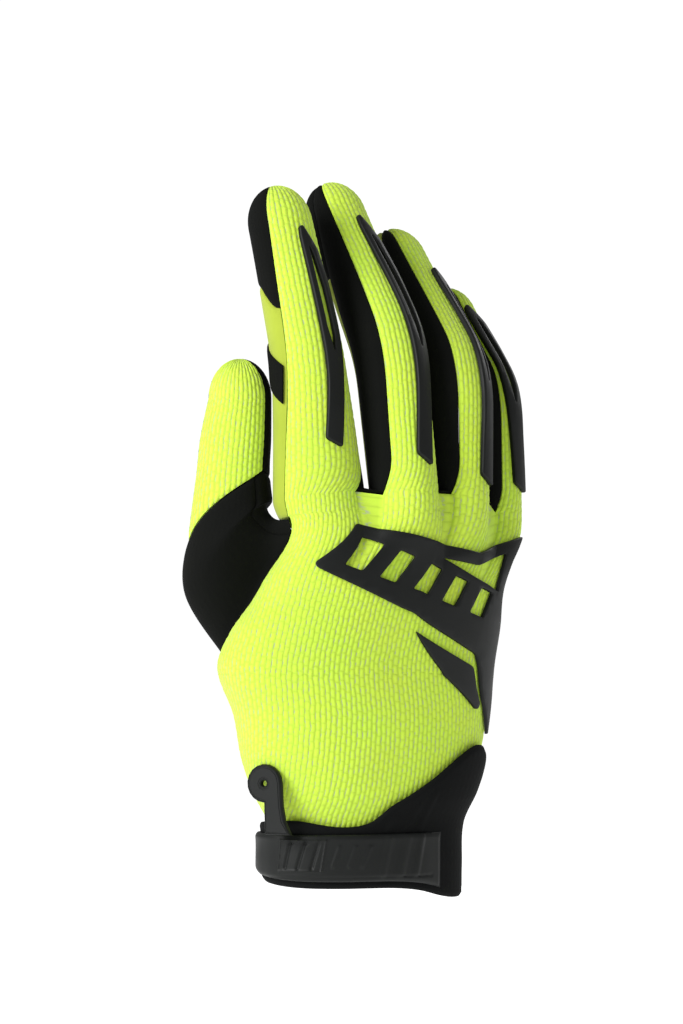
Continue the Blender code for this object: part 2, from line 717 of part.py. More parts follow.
def add_guard(finger_name, material):
    """A moulded finger guard, split like a hairpin, that stands on the knit of one finger."""
    guard = GUARDS[finger_name]
    finger = FINGERS[finger_name]
    core = finger["core"] * MIDDLE_LENGTH
    start, length = guard["bottom"] * core, (guard["top"] - guard["bottom"]) * core
    outline = [(x * GUARD_WIDTH, start + y * length) for x, y in GUARD_OUTLINE]
    slot = [(x * GUARD_WIDTH, start + y * length) for x, y in GUARD_SLOT]
    sheet = outline_sheet(outline, [slot], GUARD_WIDTH, GUARD_STEP_ALONG)

    def place(x, y, depth):
        share = y / core
        radius = through(finger["half_width"], share) * FINGER_WIDTH
        angle = through(guard["lie"], share) + math.degrees(x / radius)
        return finger_point(finger_name, angle, share * CORE_SHARE, depth)

    return wall("guard_" + finger_name, sheet, place, -SEAM_GAP - RUBBER, -SEAM_GAP, material, smooth=False)


def add_index_band(material):
    """The black band that slants across the index finger's palm side."""
    columns = 6
    core = FINGERS["index"]["core"] * MIDDLE_LENGTH
    sheet = grid_sheet(columns, 3)

    def place(column, row, depth):
        across = column / columns
        travel = (0.40 + 0.16 * across) * CORE_SHARE + BAND_WIDTH / core * (row / 3 - 0.5)
        angle = column_angle("index", "palm", 0.02 + 0.5 * across, travel, SEAM_GAP)
        return finger_point("index", angle, travel, depth)

    return wall("index_band", sheet, place, -SEAM_GAP - 0.5 * FABRIC, -SEAM_GAP, material)


def back_of_hand(x, height, depth):
    """A point on the back of the hand, x from its middle along the surface."""
    share = 0.5 + x / (BACK_GIRTH * KNUCKLE_WIDTH)
    shares = SIDE_SHARES["back"]
    for number, (first, last) in enumerate(shares):
        name = FINGER_ORDER[number]
        if first <= share <= last:
            return hand_point("back", name, (share - first) / (last - first),
                              height / (FINGERS[name]["root"][2] * HAND_LENGTH), depth)
        if number + 1 < len(shares) and last < share < shares[number + 1][0]:
            other = FINGER_ORDER[number + 1]
            low = hand_point("back", name, 1.0, height / (FINGERS[name]["root"][2] * HAND_LENGTH), depth)
            high = hand_point("back", other, 0.0, height / (FINGERS[other]["root"][2] * HAND_LENGTH), depth)
            return low.lerp(high, (share - last) / (shares[number + 1][0] - last))
    return hand_point("back", FINGER_ORDER[-1], 1.0, height / HAND_LENGTH, depth)


def plate_point(x, y):
    """A point of the plate's table in metres."""
    return (x * PLATE_WIDTH, PLATE_FOOT + y * PLATE_HEIGHT)


def plate_vents():
    """Slanted vents along the plate."""
    slope, lean = math.radians(VENT_SLOPE), math.radians(90.0 - VENT_LEAN)
    along = Vector((math.cos(slope), math.sin(slope))) * (0.5 * VENT_WIDTH)
    upwards = Vector((math.cos(lean), math.sin(lean))) * (0.5 * VENT_HEIGHT)
    start, end = (Vector(plate_point(*point)) for point in VENT_LINE)
    vents = []
    for number in range(VENT_COUNT):
        centre = start.lerp(end, number / (VENT_COUNT - 1))
        corners = (centre - along - upwards, centre + along - upwards,
                   centre + along + upwards, centre - along + upwards)
        vents.append([tuple(corner) for corner in corners])
    return vents


def add_plate(name, outline, holes, material):
    """A thin moulded plate that stands on the back of the hand."""
    sheet = outline_sheet(outline, holes, PLATE_STEP_ACROSS, PLATE_STEP_ALONG)
    return wall(name, sheet, back_of_hand, -PLATE_EASE - PLATE_WALL, -PLATE_EASE, material, smooth=False)


def cuff_edges(angle):
    """Heights of the cuff's bottom and top edges at an angle round it."""
    bottom, top = table_at(CUFF_EDGES, angle)
    return bottom * CUFF_SWAY, CUFF_HEIGHT + top * WING_RISE


def add_cuff_band(material):
    """The neoprene cuff, open at a narrow slit on the palm side."""
    start = CUFF_SLIT + 0.5 * CUFF_SLIT_WIDTH
    sweep = 360.0 - CUFF_SLIT_WIDTH
    sheet = grid_sheet(CUFF_COLUMNS, CUFF_ROWS)

    def place(column, row, depth):
        angle = start + sweep * column / CUFF_COLUMNS
        bottom, top = cuff_edges(angle)
        return oval_point(bottom + (top - bottom) * row / CUFF_ROWS, angle, depth)

    return wall("cuff_band", sheet, place, -CUFF_EASE - CUFF_WALL, -CUFF_EASE, material)


def add_cuff_strap(material):
    """The moulded closing strap round the thumb side and the back of the cuff. It thins out
    towards its end below the wing."""
    sheet = grid_sheet(STRAP_COLUMNS, STRAP_ROWS)
    seat = -CUFF_EASE - CUFF_WALL - SEAM_GAP

    def place(column, row, depth):
        angle = STRAP_FROM + (STRAP_TO - STRAP_FROM) * column / STRAP_COLUMNS
        bottom = cuff_edges(angle)[0] + STRAP_MARGIN
        fade = smooth_step((STRAP_TO - angle) / STRAP_FADE)
        if depth < seat:
            depth = seat - STRAP_WALL * (STRAP_THIN + (1.0 - STRAP_THIN) * fade)
        return oval_point(bottom + (STRAP_TOP - bottom) * row / STRAP_ROWS, angle, depth)

    return wall("cuff_strap", sheet, place, seat - STRAP_WALL, seat, material)


def tab_outline(tab_height):
    """The pull tab's outline round its disc's centre."""
    stem = STRAP_TOP + SEAM_GAP - tab_height
    outline = [(x * TAB_RADIUS, y * stem) for x, y in TAB_STEM]
    outline.reverse()
    arc = []
    for number in range(TAB_ARC_STEPS + 1):
        turn = math.radians(270.0 * number / TAB_ARC_STEPS)
        arc.append((TAB_RADIUS * math.cos(turn), TAB_RADIUS * math.sin(turn)))
    return outline + arc


def add_pull_tab(material):
    """The round pull tab above the strap, with a small hole and a short stem."""
    tab_height = CUFF_HEIGHT + TAB_RISE * TAB_RADIUS
    hole = [(TAB_HOLE * math.cos(math.radians(60.0 * n)), TAB_HOLE * math.sin(math.radians(60.0 * n)))
            for n in range(6)]
    sheet = outline_sheet(tab_outline(tab_height), [hole], TAB_RADIUS, 0.5 * TAB_RADIUS)
    facing = math.radians(TAB_FACING)
    outwards = Vector((math.sin(facing), -math.cos(facing), 0.0))
    sideways = Vector((math.cos(facing), math.sin(facing), 0.0))
    reach = max(oval_point(height, angle, 0.0).dot(outwards)
                for height in (STRAP_TOP, CUFF_HEIGHT, tab_height, tab_height + TAB_RADIUS)
                for angle in range(-130, 10, 5))
    cuff_reach = max(oval_point(cuff_edges(angle)[1], angle, -CUFF_EASE - CUFF_WALL).dot(outwards)
                     for angle in range(-130, -10, 5))
    base = max(reach, cuff_reach) + SEAM_GAP
    middle = oval_point(tab_height, TAB_TURN, 0.0).dot(sideways)

    def place(x, y, depth):
        return outwards * (base - depth) + sideways * (middle + x) + Vector((0.0, 0.0, tab_height + y))

    return wall("pull_tab", sheet, place, -TAB_WALL, 0.0, material, smooth=False)


def build_glove():
    """Make every piece of the glove."""
    knit = finish("fluorescent_knit", (0.52, 0.80, 0.06), 0.85)
    suede = finish("yellow_suede", (0.50, 0.62, 0.03), 0.75)
    stretch = finish("black_stretch", (0.008, 0.009, 0.008), 0.85)
    rubber = finish("black_rubber", (0.012, 0.013, 0.012), 0.45)
    neoprene = finish("black_neoprene", (0.007, 0.008, 0.008), 0.80)

    to_tip = {name: full_length for name in FINGER_ORDER}
    tongue_panel("back_panel", "back", to_tip, knit)
    palm_tops = dict(to_tip, index=index_tip_edge, middle=middle_tip_edge)
    tongue_panel("palm_panel", "palm", palm_tops, suede)
    add_fingertip("index_tip", "index", index_tip_edge, stretch)
    add_fingertip("middle_tip", "middle", middle_tip_edge, stretch)
    add_index_band(stretch)
    for first, second in zip(FINGER_ORDER, FINGER_ORDER[1:]):
        add_fourchette("fourchette_" + first + "_" + second, first, second, stretch)

    add_thumb_piece("thumb_back", THUMB_BACK_FROM, THUMB_BACK_TO, True, knit)
    add_thumb_piece("thumb_palm", THUMB_BACK_TO, THUMB_BACK_FROM + THUMB_STEPS, True, stretch)
    add_thumb_piece("thumb_crotch", CROTCH_FROM, CROTCH_TO, False, stretch)
    add_thumb_piece("thumb_gusset", CROTCH_TO, CROTCH_FROM + THUMB_STEPS, False, stretch)

    for name in FINGER_ORDER:
        add_guard(name, rubber)
    plate = [plate_point(x, y) for x, y in PLATE_OUTLINE]
    notch = [plate_point(x, y) for x, y in PLATE_NOTCH]
    shard = [plate_point(x, y) for x, y in SHARD_OUTLINE]
    add_plate("hand_plate", plate, [notch] + plate_vents(), rubber)
    add_plate("hand_shard", shard, [], rubber)

    add_cuff_band(neoprene)
    add_cuff_strap(rubber)
    add_pull_tab(rubber)


clear_scene()
build_glove()
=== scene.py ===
"""Motocross glove for the right hand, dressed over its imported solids.

The wrist opening is centred on the origin and +Z runs to the fingertips. The back of the hand
faces -Y and the thumb is on the -X side. Lengths are metres and angles are degrees. The sizes and
the surfaces of the hand are those of the solids, so every piece lies where its solid does. Only
the top of the cuff's wing and the pull tab's place differ from the solids, by about 2 mm.
"""

import math

import bpy
import bmesh
from mathutils import Matrix, Vector


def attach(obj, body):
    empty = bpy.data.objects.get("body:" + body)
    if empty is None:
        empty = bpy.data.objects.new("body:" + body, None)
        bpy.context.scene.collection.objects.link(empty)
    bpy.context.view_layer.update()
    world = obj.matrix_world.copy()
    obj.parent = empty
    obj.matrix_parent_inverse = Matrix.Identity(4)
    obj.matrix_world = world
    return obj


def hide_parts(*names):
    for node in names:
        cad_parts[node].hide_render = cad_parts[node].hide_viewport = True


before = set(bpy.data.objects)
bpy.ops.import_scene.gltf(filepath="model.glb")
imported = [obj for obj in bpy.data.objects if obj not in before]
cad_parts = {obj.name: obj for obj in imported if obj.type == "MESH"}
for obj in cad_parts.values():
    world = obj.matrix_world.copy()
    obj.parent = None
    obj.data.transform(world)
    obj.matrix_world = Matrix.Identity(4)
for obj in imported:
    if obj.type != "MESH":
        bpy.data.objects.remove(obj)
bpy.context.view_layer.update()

# Driving sizes of the hand
HAND_LENGTH = 0.132
KNUCKLE_WIDTH = 0.090
HAND_DEPTH = 0.040
FINGER_WIDTH = 0.0240
MIDDLE_LENGTH = 0.108
THUMB_LENGTH = 0.078
THUMB_WIDTH = 0.0244

# Walls and clearances
FABRIC = 0.0012
SEAM_GAP = 0.0003
CUFF_EASE = 0.0007
PLATE_EASE = 0.0006
CUFF_WALL = 0.0022
STRAP_WALL = 0.0016
RUBBER = 0.0016
PLATE_WALL = 0.0011

# Cuff, strap and pull tab
CUFF_HEIGHT = 0.0225
CUFF_SWAY = 0.0060
WING_RISE = 0.0260
STRAP_MARGIN = 0.0024
STRAP_TOP = 0.0200
STRAP_FROM = -196.0
STRAP_TO = 28.0
STRAP_FADE = 22.0
STRAP_THIN = 0.30
TAB_RADIUS = 0.0064
TAB_HOLE = 0.0010
TAB_RISE = 2.3
TAB_WALL = 0.0018
TAB_FACING = -58.0
TAB_TURN = -74.5
TAB_ARC_STEPS = 14

# Finger guards and plates
GUARD_WIDTH = 0.0072
BAND_WIDTH = 0.0105
PLATE_WIDTH = 0.082
PLATE_HEIGHT = 0.0703
VENT_COUNT = 5

# Seams round the hand
RADIAL_SEAM = -122.0
ULNAR_SEAM = 95.0
OVAL_POWER = 2.25
CUFF_SLIT = -168.0
CUFF_SLIT_WIDTH = 4.0
# Where each side of the hand ends, as an angle that runs on from the radial seam
SIDE_ENDS = {"back": ULNAR_SEAM, "palm": ULNAR_SEAM - 360.0}

# The hole for the thumb lies on the radial seam
HOLE_CENTRE = 0.0995
HOLE_HEIGHT = 0.053
HOLE_BACK = 15.0
HOLE_PALM = 50.0
HOLE_BLUNT = 0.75
HOLE_FADE = 1.5

# Hand sections: height as a share of HAND_LENGTH, centre_x and half_width as shares of
# KNUCKLE_WIDTH, centre_y and half_depth as shares of HAND_DEPTH
HAND_SECTIONS = (
    # height, centre_x, centre_y, half_width, half_depth
    (0.00, 0.000, 0.000, 0.366, 0.485),
    (0.06, 0.000, 0.000, 0.367, 0.487),
    (0.17, 0.000, 0.000, 0.374, 0.500),
    (0.25, -0.004, -0.010, 0.432, 0.575),
    (0.34, -0.010, -0.025, 0.480, 0.610),
    (0.45, -0.018, -0.050, 0.512, 0.620),
    (0.57, -0.054, -0.100, 0.558, 0.615),
    (0.66, -0.028, -0.150, 0.545, 0.585),
    (0.75, 0.022, -0.190, 0.503, 0.545),
    (0.89, 0.100, -0.240, 0.480, 0.470),
    (1.00, 0.145, -0.262, 0.488, 0.438),
)

# Fingers: root places as shares of KNUCKLE_WIDTH, HAND_DEPTH and HAND_LENGTH, core as a share of
# MIDDLE_LENGTH, bend_at as a share of the core, widths and depths as shares of FINGER_WIDTH at
# the root, the middle joint and the tip, and the four seams at the same three places
FINGERS = {
    "index": {
        "root": (-0.214, -0.195, 1.000), "core": 0.872, "bend_at": 0.50,
        "splay": -3.0, "lean": 8.0, "bend": 10.0, "roll": -10.0,
        "half_width": (0.580, 0.512, 0.455), "half_depth": (0.530, 0.500, 0.430),
        "back_thumbward": (-66.0, -52.0, -38.0), "back_outward": (72.0, 76.0, 80.0),
        "palm_outward": (122.0, 122.0, 98.0), "palm_thumbward": (-66.0, -52.0, -38.0),
    },
    "middle": {
        "root": (0.064, -0.450, 1.000), "core": 1.000, "bend_at": 0.44,
        "splay": 0.0, "lean": 11.0, "bend": 26.0, "roll": 5.0,
        "half_width": (0.462, 0.500, 0.436), "half_depth": (0.520, 0.500, 0.410),
        "back_thumbward": (-56.0, -44.0, -50.0), "back_outward": (68.0, 76.0, 80.0),
        "palm_outward": (120.0, 122.0, 98.0), "palm_thumbward": (-122.0, -120.0, -68.0),
    },
    "ring": {
        "root": (0.307, -0.375, 1.000), "core": 0.890, "bend_at": 0.41,
        "splay": 2.0, "lean": 5.0, "bend": 39.0, "roll": 18.0,
        "half_width": (0.430, 0.470, 0.425), "half_depth": (0.500, 0.470, 0.400),
        "back_thumbward": (-45.0, -42.0, -48.0), "back_outward": (50.0, 70.0, 78.0),
        "palm_outward": (118.0, 120.0, 96.0), "palm_thumbward": (-122.0, -120.0, -66.0),
    },
    "little": {
        "root": (0.529, -0.110, 0.953), "core": 0.730, "bend_at": 0.48,
        "splay": 3.0, "lean": 5.0, "bend": 38.0, "roll": 36.0,
        "half_width": (0.412, 0.412, 0.375), "half_depth": (0.460, 0.420, 0.355),
        "back_thumbward": (-45.0, -44.0, -48.0), "back_outward": (92.0, 94.0, 96.0),
        "palm_outward": (92.0, 94.0, 96.0), "palm_thumbward": (-122.0, -118.0, -66.0),
    },
}
FINGER_ORDER = ("index", "middle", "ring", "little")
CORE_SHARE = 0.84
ROOT_BLEND = 0.78
ROOT_POWER = 1.3
INDEX_FLARE = 0.0018
FLARE_REACH = 0.45
FLARE_POWER = 1.5
CROTCH_ROUND = 0.10
CROTCH_BACK = 38.0
CROTCH_PALM = 20.0
WEB_SHARE = 0.05
HALF_GIRTH = 1.26
BEND_SPREAD = 0.13
TIP_STRETCH = 1.25
TIP_TURN = 84.0

# The thumb's middle line: centre as shares of KNUCKLE_WIDTH, HAND_DEPTH and THUMB_LENGTH above
# the hole's centre, half sizes as shares of THUMB_WIDTH, and the tilt of the section's width
THUMB_STATIONS = (
    # centre_x, centre_y, rise, half_width, half_depth, tilt
    (-0.360, 0.300, -0.030, 0.980, 0.400, 90.0),
    (-0.500, 0.300, 0.170, 0.870, 0.570, 52.0),
    (-0.482, 0.325, 0.333, 0.635, 0.540, 24.0),
    (-0.479, 0.300, 0.500, 0.520, 0.505, 8.0),
    (-0.459, 0.325, 0.673, 0.490, 0.480, 0.0),
    (-0.440, 0.330, 0.840, 0.435, 0.420, 0.0),
)
THUMB_ROLL = -45.0
THUMB_JOIN_LOW = 0.37
THUMB_JOIN_HIGH = 0.61
RIM_BLEND = 0.22
RIM_MITRE = 0.7

# Seams round the thumb, as counts of equal steps round it
THUMB_STEPS = 20
THUMB_BACK_FROM = -4
THUMB_BACK_TO = 4
CROTCH_FROM = 3
CROTCH_TO = 7

# Finger guards: bottom and top as shares of the finger's core, and the angle of their middle
# line off the finger's back at the root, the middle joint and the tip
GUARDS = {
    "index": {"bottom": 0.155, "top": 0.955, "lie": (0.0, 24.0, 27.0)},
    "middle": {"bottom": 0.075, "top": 0.925, "lie": (-2.0, 22.0, 8.0)},
    "ring": {"bottom": 0.030, "top": 0.860, "lie": (6.0, 22.0, 6.0)},
    "little": {"bottom": 0.090, "top": 0.950, "lie": (-6.0, -18.0, -30.0)},
}
# Outline of a guard: across as a share of GUARD_WIDTH, along as a share of its length
GUARD_OUTLINE = (
    (0.40, 0.000), (0.42, 0.300), (0.50, 0.480), (0.50, 0.720), (0.28, 0.880),
    (-0.26, 1.000), (-0.44, 0.995), (-0.50, 0.950), (-0.50, 0.500), (-0.40, 0.300), (-0.38, 0.045),
)
GUARD_SLOT = (
    (0.00, 0.420), (0.16, 0.480), (0.16, 0.700), (-0.04, 0.855), (-0.20, 0.900), (-0.18, 0.520),
)
# Outline of the hand plate and its shard: across as a share of PLATE_WIDTH from the middle of
# the hand's back, height as a share of PLATE_HEIGHT above PLATE_FOOT
PLATE_FOOT = 0.0517
BACK_GIRTH = 1.32
PLATE_OUTLINE = (
    (-0.323, 1.000), (0.045, 0.920), (0.294, 0.875), (0.530, 0.950), (0.515, 0.835), (0.535, 0.711),
    (0.556, 0.555), (0.553, 0.235), (0.549, 0.000), (0.530, 0.020), (0.466, 0.172), (0.433, 0.336),
    (0.407, 0.393), (0.057, 0.583), (-0.430, 0.811), (-0.451, 0.834),
)
PLATE_NOTCH = ((0.105, 0.851), (0.316, 0.817), (0.445, 0.866), (0.482, 0.691))
SHARD_OUTLINE = ((0.075, 0.510), (0.398, 0.335), (0.446, 0.150), (0.428, 0.125))
VENT_LINE = ((-0.270, 0.868), (0.385, 0.640))
VENT_SLOPE = -17.0
VENT_LEAN = 22.0
VENT_WIDTH = 0.0068
VENT_HEIGHT = 0.0088

# The cuff's edges at angles round it: the bottom as a share of CUFF_SWAY, and the top as a share
# of WING_RISE above CUFF_HEIGHT
CUFF_EDGES = (
    # angle, bottom, top
    (-200.0, 1.00, 0.00), (-160.0, 1.00, 0.00), (-120.0, 0.88, 0.02), (-90.0, 0.55, 0.06),
    (-60.0, 0.38, 0.08), (-30.0, 0.33, 0.00), (-12.0, 0.33, 0.06), (0.0, 0.30, 0.31),
    (15.0, 0.12, 0.58), (30.0, -0.20, 0.86), (42.0, -0.36, 1.00), (52.0, -0.40, 0.99),
    (60.0, -0.39, 0.86), (70.0, -0.36, 0.52), (84.0, -0.28, 0.25), (120.0, 0.25, 0.06),
    (150.0, 0.80, 0.00), (200.0, 1.00, 0.00),
)
# Outline of the pull tab's stem from the disc's right side to its foot and back up to the disc's
# lowest point: across as a share of TAB_RADIUS, along as a share of the stem's length
TAB_STEM = ((1.06, 0.42), (1.20, 0.72), (1.55, 1.00), (0.05, 1.00))

# Mean radius of the cuff
CUFF_MEAN = 0.5 * (HAND_SECTIONS[1][3] * KNUCKLE_WIDTH + HAND_SECTIONS[1][4] * HAND_DEPTH)
# Lines of the strap's and the cuff's relief
STRAP_LINES = (
    # low angle, low height, high angle, high height, half width, rise
    (-74.0, 0.0080, -72.0, 0.0183, 0.0004, 0.00030),
    (-42.0, 0.0080, -39.0, 0.0183, 0.0004, 0.00030),
    (-74.0, 0.0080, -42.0, 0.0080, 0.0004, 0.00030),
    (-72.0, 0.0183, -39.0, 0.0183, 0.0004, 0.00030),
    (-68.5, 0.0092, -64.5, 0.0172, 0.0009, -0.00060),
    (-64.5, 0.0172, -61.5, 0.0172, 0.0006, -0.00050),
    (-58.5, 0.0092, -53.5, 0.0172, 0.0009, -0.00060),
    (-53.5, 0.0172, -51.0, 0.0172, 0.0006, -0.00050),
    (-48.5, 0.0092, -44.0, 0.0172, 0.0009, -0.00060),
    (-35.0, 0.0095, -31.0, 0.0160, 0.0008, 0.00028),
    (-25.5, 0.0095, -21.5, 0.0160, 0.0008, 0.00028),
    (-18.0, 0.0095, -13.5, 0.0160, 0.0008, 0.00028),
    (-7.5, 0.0065, -3.5, 0.0195, 0.0013, 0.00045),
    (0.5, 0.0065, 4.5, 0.0195, 0.0013, 0.00045),
    (8.5, 0.0065, 12.5, 0.0195, 0.0013, 0.00045),
    (-110.0, 0.0058, 20.0, 0.0058, 0.0005, -0.00030),
)
CUFF_LINES = (
    (-3.0, 0.0215, 0.0, 0.0250, 0.0013, 0.00035),
    (5.0, 0.0215, 9.0, 0.0290, 0.0013, 0.00035),
    (13.0, 0.0215, 17.0, 0.0330, 0.0013, 0.00035),
)
CUFF_HEM = ((-1.0, 0.0021, 1.0, 0.0021, 0.0004, -0.00025),)
EDGE_ROLL = 0.0016

# Relief of the fabrics. The wale is the width of a column of loops and the course the length of a
# loop. Neighbouring columns are slipped by a share of a loop, the joints between loops are less
# deep than the columns, and the columns wander a little. The grain is measured from a share of
# the way round the back.
KNIT_WALE = 0.0018
KNIT_COURSE = 0.0030
KNIT_SLIP = 0.14
KNIT_TURN = 2.4
KNIT_JOINT = 0.70
GRAIN_SHARE = 0.65
KNIT_WANDER = 0.0010
KNIT_RAISE = 0.00008
KNIT_SINK = 0.00016
SEAM_DIP = 0.00055
SEAM_REACH = 0.0020
STRETCH_WALE = 0.0009
NEOPRENE_WALE = 0.0011

# Where the photograph's middle lies, as metres to the camera's right and up from the origin
VIEW_AZIMUTH = -30.0
VIEW_RIGHT = -0.0069
VIEW_HEIGHT = 0.1270
VIEW_TALL = 0.3441
LENS = 200.0
SENSOR = 36.0
FLOOR_HEIGHT = -0.060
FLOOR_GLOW = 0.62
WORLD_LIGHT = 0.44
SEEN_WHITE = 1.05

# How finely the cloth is divided: the coarse inner face, and the steps of the outer face in each
# of its cells
PANEL_CELLS = {"back": 8, "palm": 6}
PANEL_FINE = {"back": 7, "palm": 3}
ROW_STEP = 0.0049
FINGER_STEP = 0.043

# The panels' lower edge as a share of HAND_LENGTH, the travel below which a finger's rows keep
# their places, the travel within which a side wall rounds its crotch, and the travel over which
# relief fades out before a tip's end
PANEL_FOOT = 0.060
LOW_ROWS = 0.52
WEB_TRAVEL = 0.05
TIP_FADE = 0.05
# Points closer than this are one
MERGE = 0.00002


def smooth_step(share):
    """0 below 0, 1 above 1 and an even curve between."""
    share = min(1.0, max(0.0, share))
    return share * share * (3.0 - 2.0 * share)


def through(values, share):
    """A smooth curve through evenly spaced values."""
    last = len(values) - 1
    place = min(1.0, max(0.0, share)) * last
    step = min(last - 1, int(place))
    t = place - step
    before = values[max(0, step - 1)]
    here = values[step]
    after = values[step + 1]
    beyond = values[min(last, step + 2)]
    return (here + 0.5 * t * (after - before + t * (2 * before - 5 * here + 4 * after - beyond
            + t * (3 * here - before - 3 * after + beyond))))


def table_at(table, place):
    """The columns of a table at a place between its first column's values, on smooth curves."""
    place = min(table[-1][0], max(table[0][0], place))
    step = 0
    while step < len(table) - 2 and place > table[step + 1][0]:
        step += 1
    low, high = table[step], table[step + 1]
    before, beyond = table[max(0, step - 1)], table[min(len(table) - 1, step + 2)]
    span = high[0] - low[0]
    t = (place - low[0]) / span
    sizes = []
    for column in range(1, len(low)):
        slope_low = (high[column] - before[column]) / (high[0] - before[0]) * span
        slope_high = (beyond[column] - low[column]) / (beyond[0] - low[0]) * span
        sizes.append((2 * t ** 3 - 3 * t ** 2 + 1) * low[column] + (t ** 3 - 2 * t ** 2 + t) * slope_low
                     + (3 * t ** 2 - 2 * t ** 3) * high[column] + (t ** 3 - t ** 2) * slope_high)
    return sizes


def section_at(height):
    """Centre and half sizes of the hand's oval at a height above the wrist edge."""
    centre_x, centre_y, half_width, half_depth = table_at(HAND_SECTIONS, height / HAND_LENGTH)
    return (centre_x * KNUCKLE_WIDTH, centre_y * HAND_DEPTH,
            half_width * KNUCKLE_WIDTH, half_depth * HAND_DEPTH)


def oval_point(height, angle, depth):
    """A point of the hand's oval, depth inside its outer face."""
    centre_x, centre_y, half_width, half_depth = section_at(height)
    side, back = math.sin(math.radians(angle)), math.cos(math.radians(angle))
    power = 2.0 / OVAL_POWER
    x = centre_x + (half_width - depth) * math.copysign(abs(side) ** power, side)
    y = centre_y - (half_depth - depth) * math.copysign(abs(back) ** power, back)
    return Vector((x, y, height))


ARC_STEPS = 60
arc_tables = {}


def arc_lengths(side, height):
    """Lengths along the oval's edge from the radial seam to even steps round one side."""
    key = (side, round(height, 7))
    if key not in arc_tables:
        sweep = SIDE_ENDS[side] - RADIAL_SEAM
        lengths = [0.0]
        last = oval_point(height, RADIAL_SEAM, 0.0)
        for step in range(1, ARC_STEPS + 1):
            point = oval_point(height, RADIAL_SEAM + sweep * step / ARC_STEPS, 0.0)
            lengths.append(lengths[-1] + (point - last).length)
            last = point
        arc_tables[key] = lengths
    return arc_tables[key]


def angle_at_share(side, height, share):
    """The angle that lies a share of the way round one side of the hand."""
    lengths = arc_lengths(side, height)
    target = share * lengths[-1]
    step = 0
    while step < ARC_STEPS - 1 and lengths[step + 1] < target:
        step += 1
    part = (target - lengths[step]) / (lengths[step + 1] - lengths[step])
    return RADIAL_SEAM + (SIDE_ENDS[side] - RADIAL_SEAM) * (step + part) / ARC_STEPS


LINE_STEPS = 80
finger_lines = {}


def finger_line(name):
    """Points and directions along a finger's middle line, evenly spaced."""
    if name not in finger_lines:
        finger = FINGERS[name]
        root_x, root_y, root_z = finger["root"]
        point = Vector((root_x * KNUCKLE_WIDTH, root_y * HAND_DEPTH, root_z * HAND_LENGTH))
        length = finger["core"] * MIDDLE_LENGTH
        points, directions = [], []
        for step in range(LINE_STEPS + 1):
            share = step / LINE_STEPS
            turn = smooth_step((share - finger["bend_at"] + BEND_SPREAD) / (2 * BEND_SPREAD))
            pitch = math.radians(finger["lean"] + finger["bend"] * turn)
            across = math.tan(math.radians(finger["splay"])) * math.cos(pitch)
            direction = Vector((across, math.sin(pitch), math.cos(pitch))).normalized()
            points.append(point.copy())
            directions.append(direction)
            point += direction * (length / LINE_STEPS)
        finger_lines[name] = (points, directions, length)
    return finger_lines[name]


def rounded_tip(travel, centre, ahead, half_width, half_depth):
    """Centre and half sizes of a finger's or the thumb's section, which closes beyond CORE_SHARE."""
    if travel <= CORE_SHARE:
        return centre, half_width, half_depth
    turn = math.radians(TIP_TURN * (travel - CORE_SHARE) / (1.0 - CORE_SHARE))
    centre = centre + ahead * (half_width * TIP_STRETCH * math.sin(turn))
    return centre, half_width * math.cos(turn), half_depth * math.cos(turn)


def finger_point(name, angle, travel, depth):
    """A point of a finger's tube. Travel is 0 at the root, CORE_SHARE where the tip begins to
    round off and 1 at its end; below 0 the tube runs straight on into the hand."""
    finger = FINGERS[name]
    points, directions, length = finger_line(name)
    core = min(1.0, travel / CORE_SHARE)
    step = min(LINE_STEPS - 1, max(0, int(core * LINE_STEPS)))
    part = max(0.0, core * LINE_STEPS - step)
    centre = points[step].lerp(points[step + 1], part)
    ahead = directions[step].lerp(directions[step + 1], part).normalized()
    half_width = through(finger["half_width"], core) * FINGER_WIDTH - depth
    half_depth = through(finger["half_depth"], core) * FINGER_WIDTH - depth
    if travel < 0.0:
        centre = points[0] + directions[0] * (core * length)
        ahead = directions[0]
    flare = 0.0
    if name == "index":
        flare = INDEX_FLARE * max(0.0, 1.0 - max(0.0, travel) / FLARE_REACH) ** FLARE_POWER
        half_width += flare
    centre, half_width, half_depth = rounded_tip(travel, centre, ahead, half_width, half_depth)
    roll = math.radians(finger["roll"])
    back = Vector((math.sin(roll), -math.cos(roll), 0.0))
    back = (back - ahead * back.dot(ahead)).normalized()
    side = ahead.cross(back)
    turn = math.radians(angle)
    return centre + side * (half_width * math.sin(turn) - flare) + back * (half_depth * math.cos(turn))


def facing_angle(name, other):
    """The angle round one finger's root that faces the root of the next finger."""
    here, there = FINGERS[name]["root"], FINGERS[other]["root"]
    towards_x = (there[0] - here[0]) * KNUCKLE_WIDTH
    towards_y = (there[1] - here[1]) * HAND_DEPTH
    return math.degrees(math.atan2(towards_x, -towards_y)) - FINGERS[name]["roll"]


def seam_angle(name, seam, travel):
    """A finger's seam angle at a travel along it. The seams beside a fourchette close in on each
    other round the crotch, where the two fingers face each other."""
    angle = through(FINGERS[name][seam], travel)
    outward, on_back = seam.endswith("outward"), seam.startswith("back")
    neighbour = FINGER_ORDER.index(name) + (1 if outward else -1)
    if neighbour < 0 or neighbour >= len(FINGER_ORDER):
        return angle
    half = CROTCH_BACK if on_back else CROTCH_PALM
    direction = -1.0 if outward == on_back else 1.0
    closed = facing_angle(name, FINGER_ORDER[neighbour]) + direction * half
    sharpness = max(0.0, 1.0 - travel / CROTCH_ROUND) ** 2
    return angle + (closed - angle) * sharpness


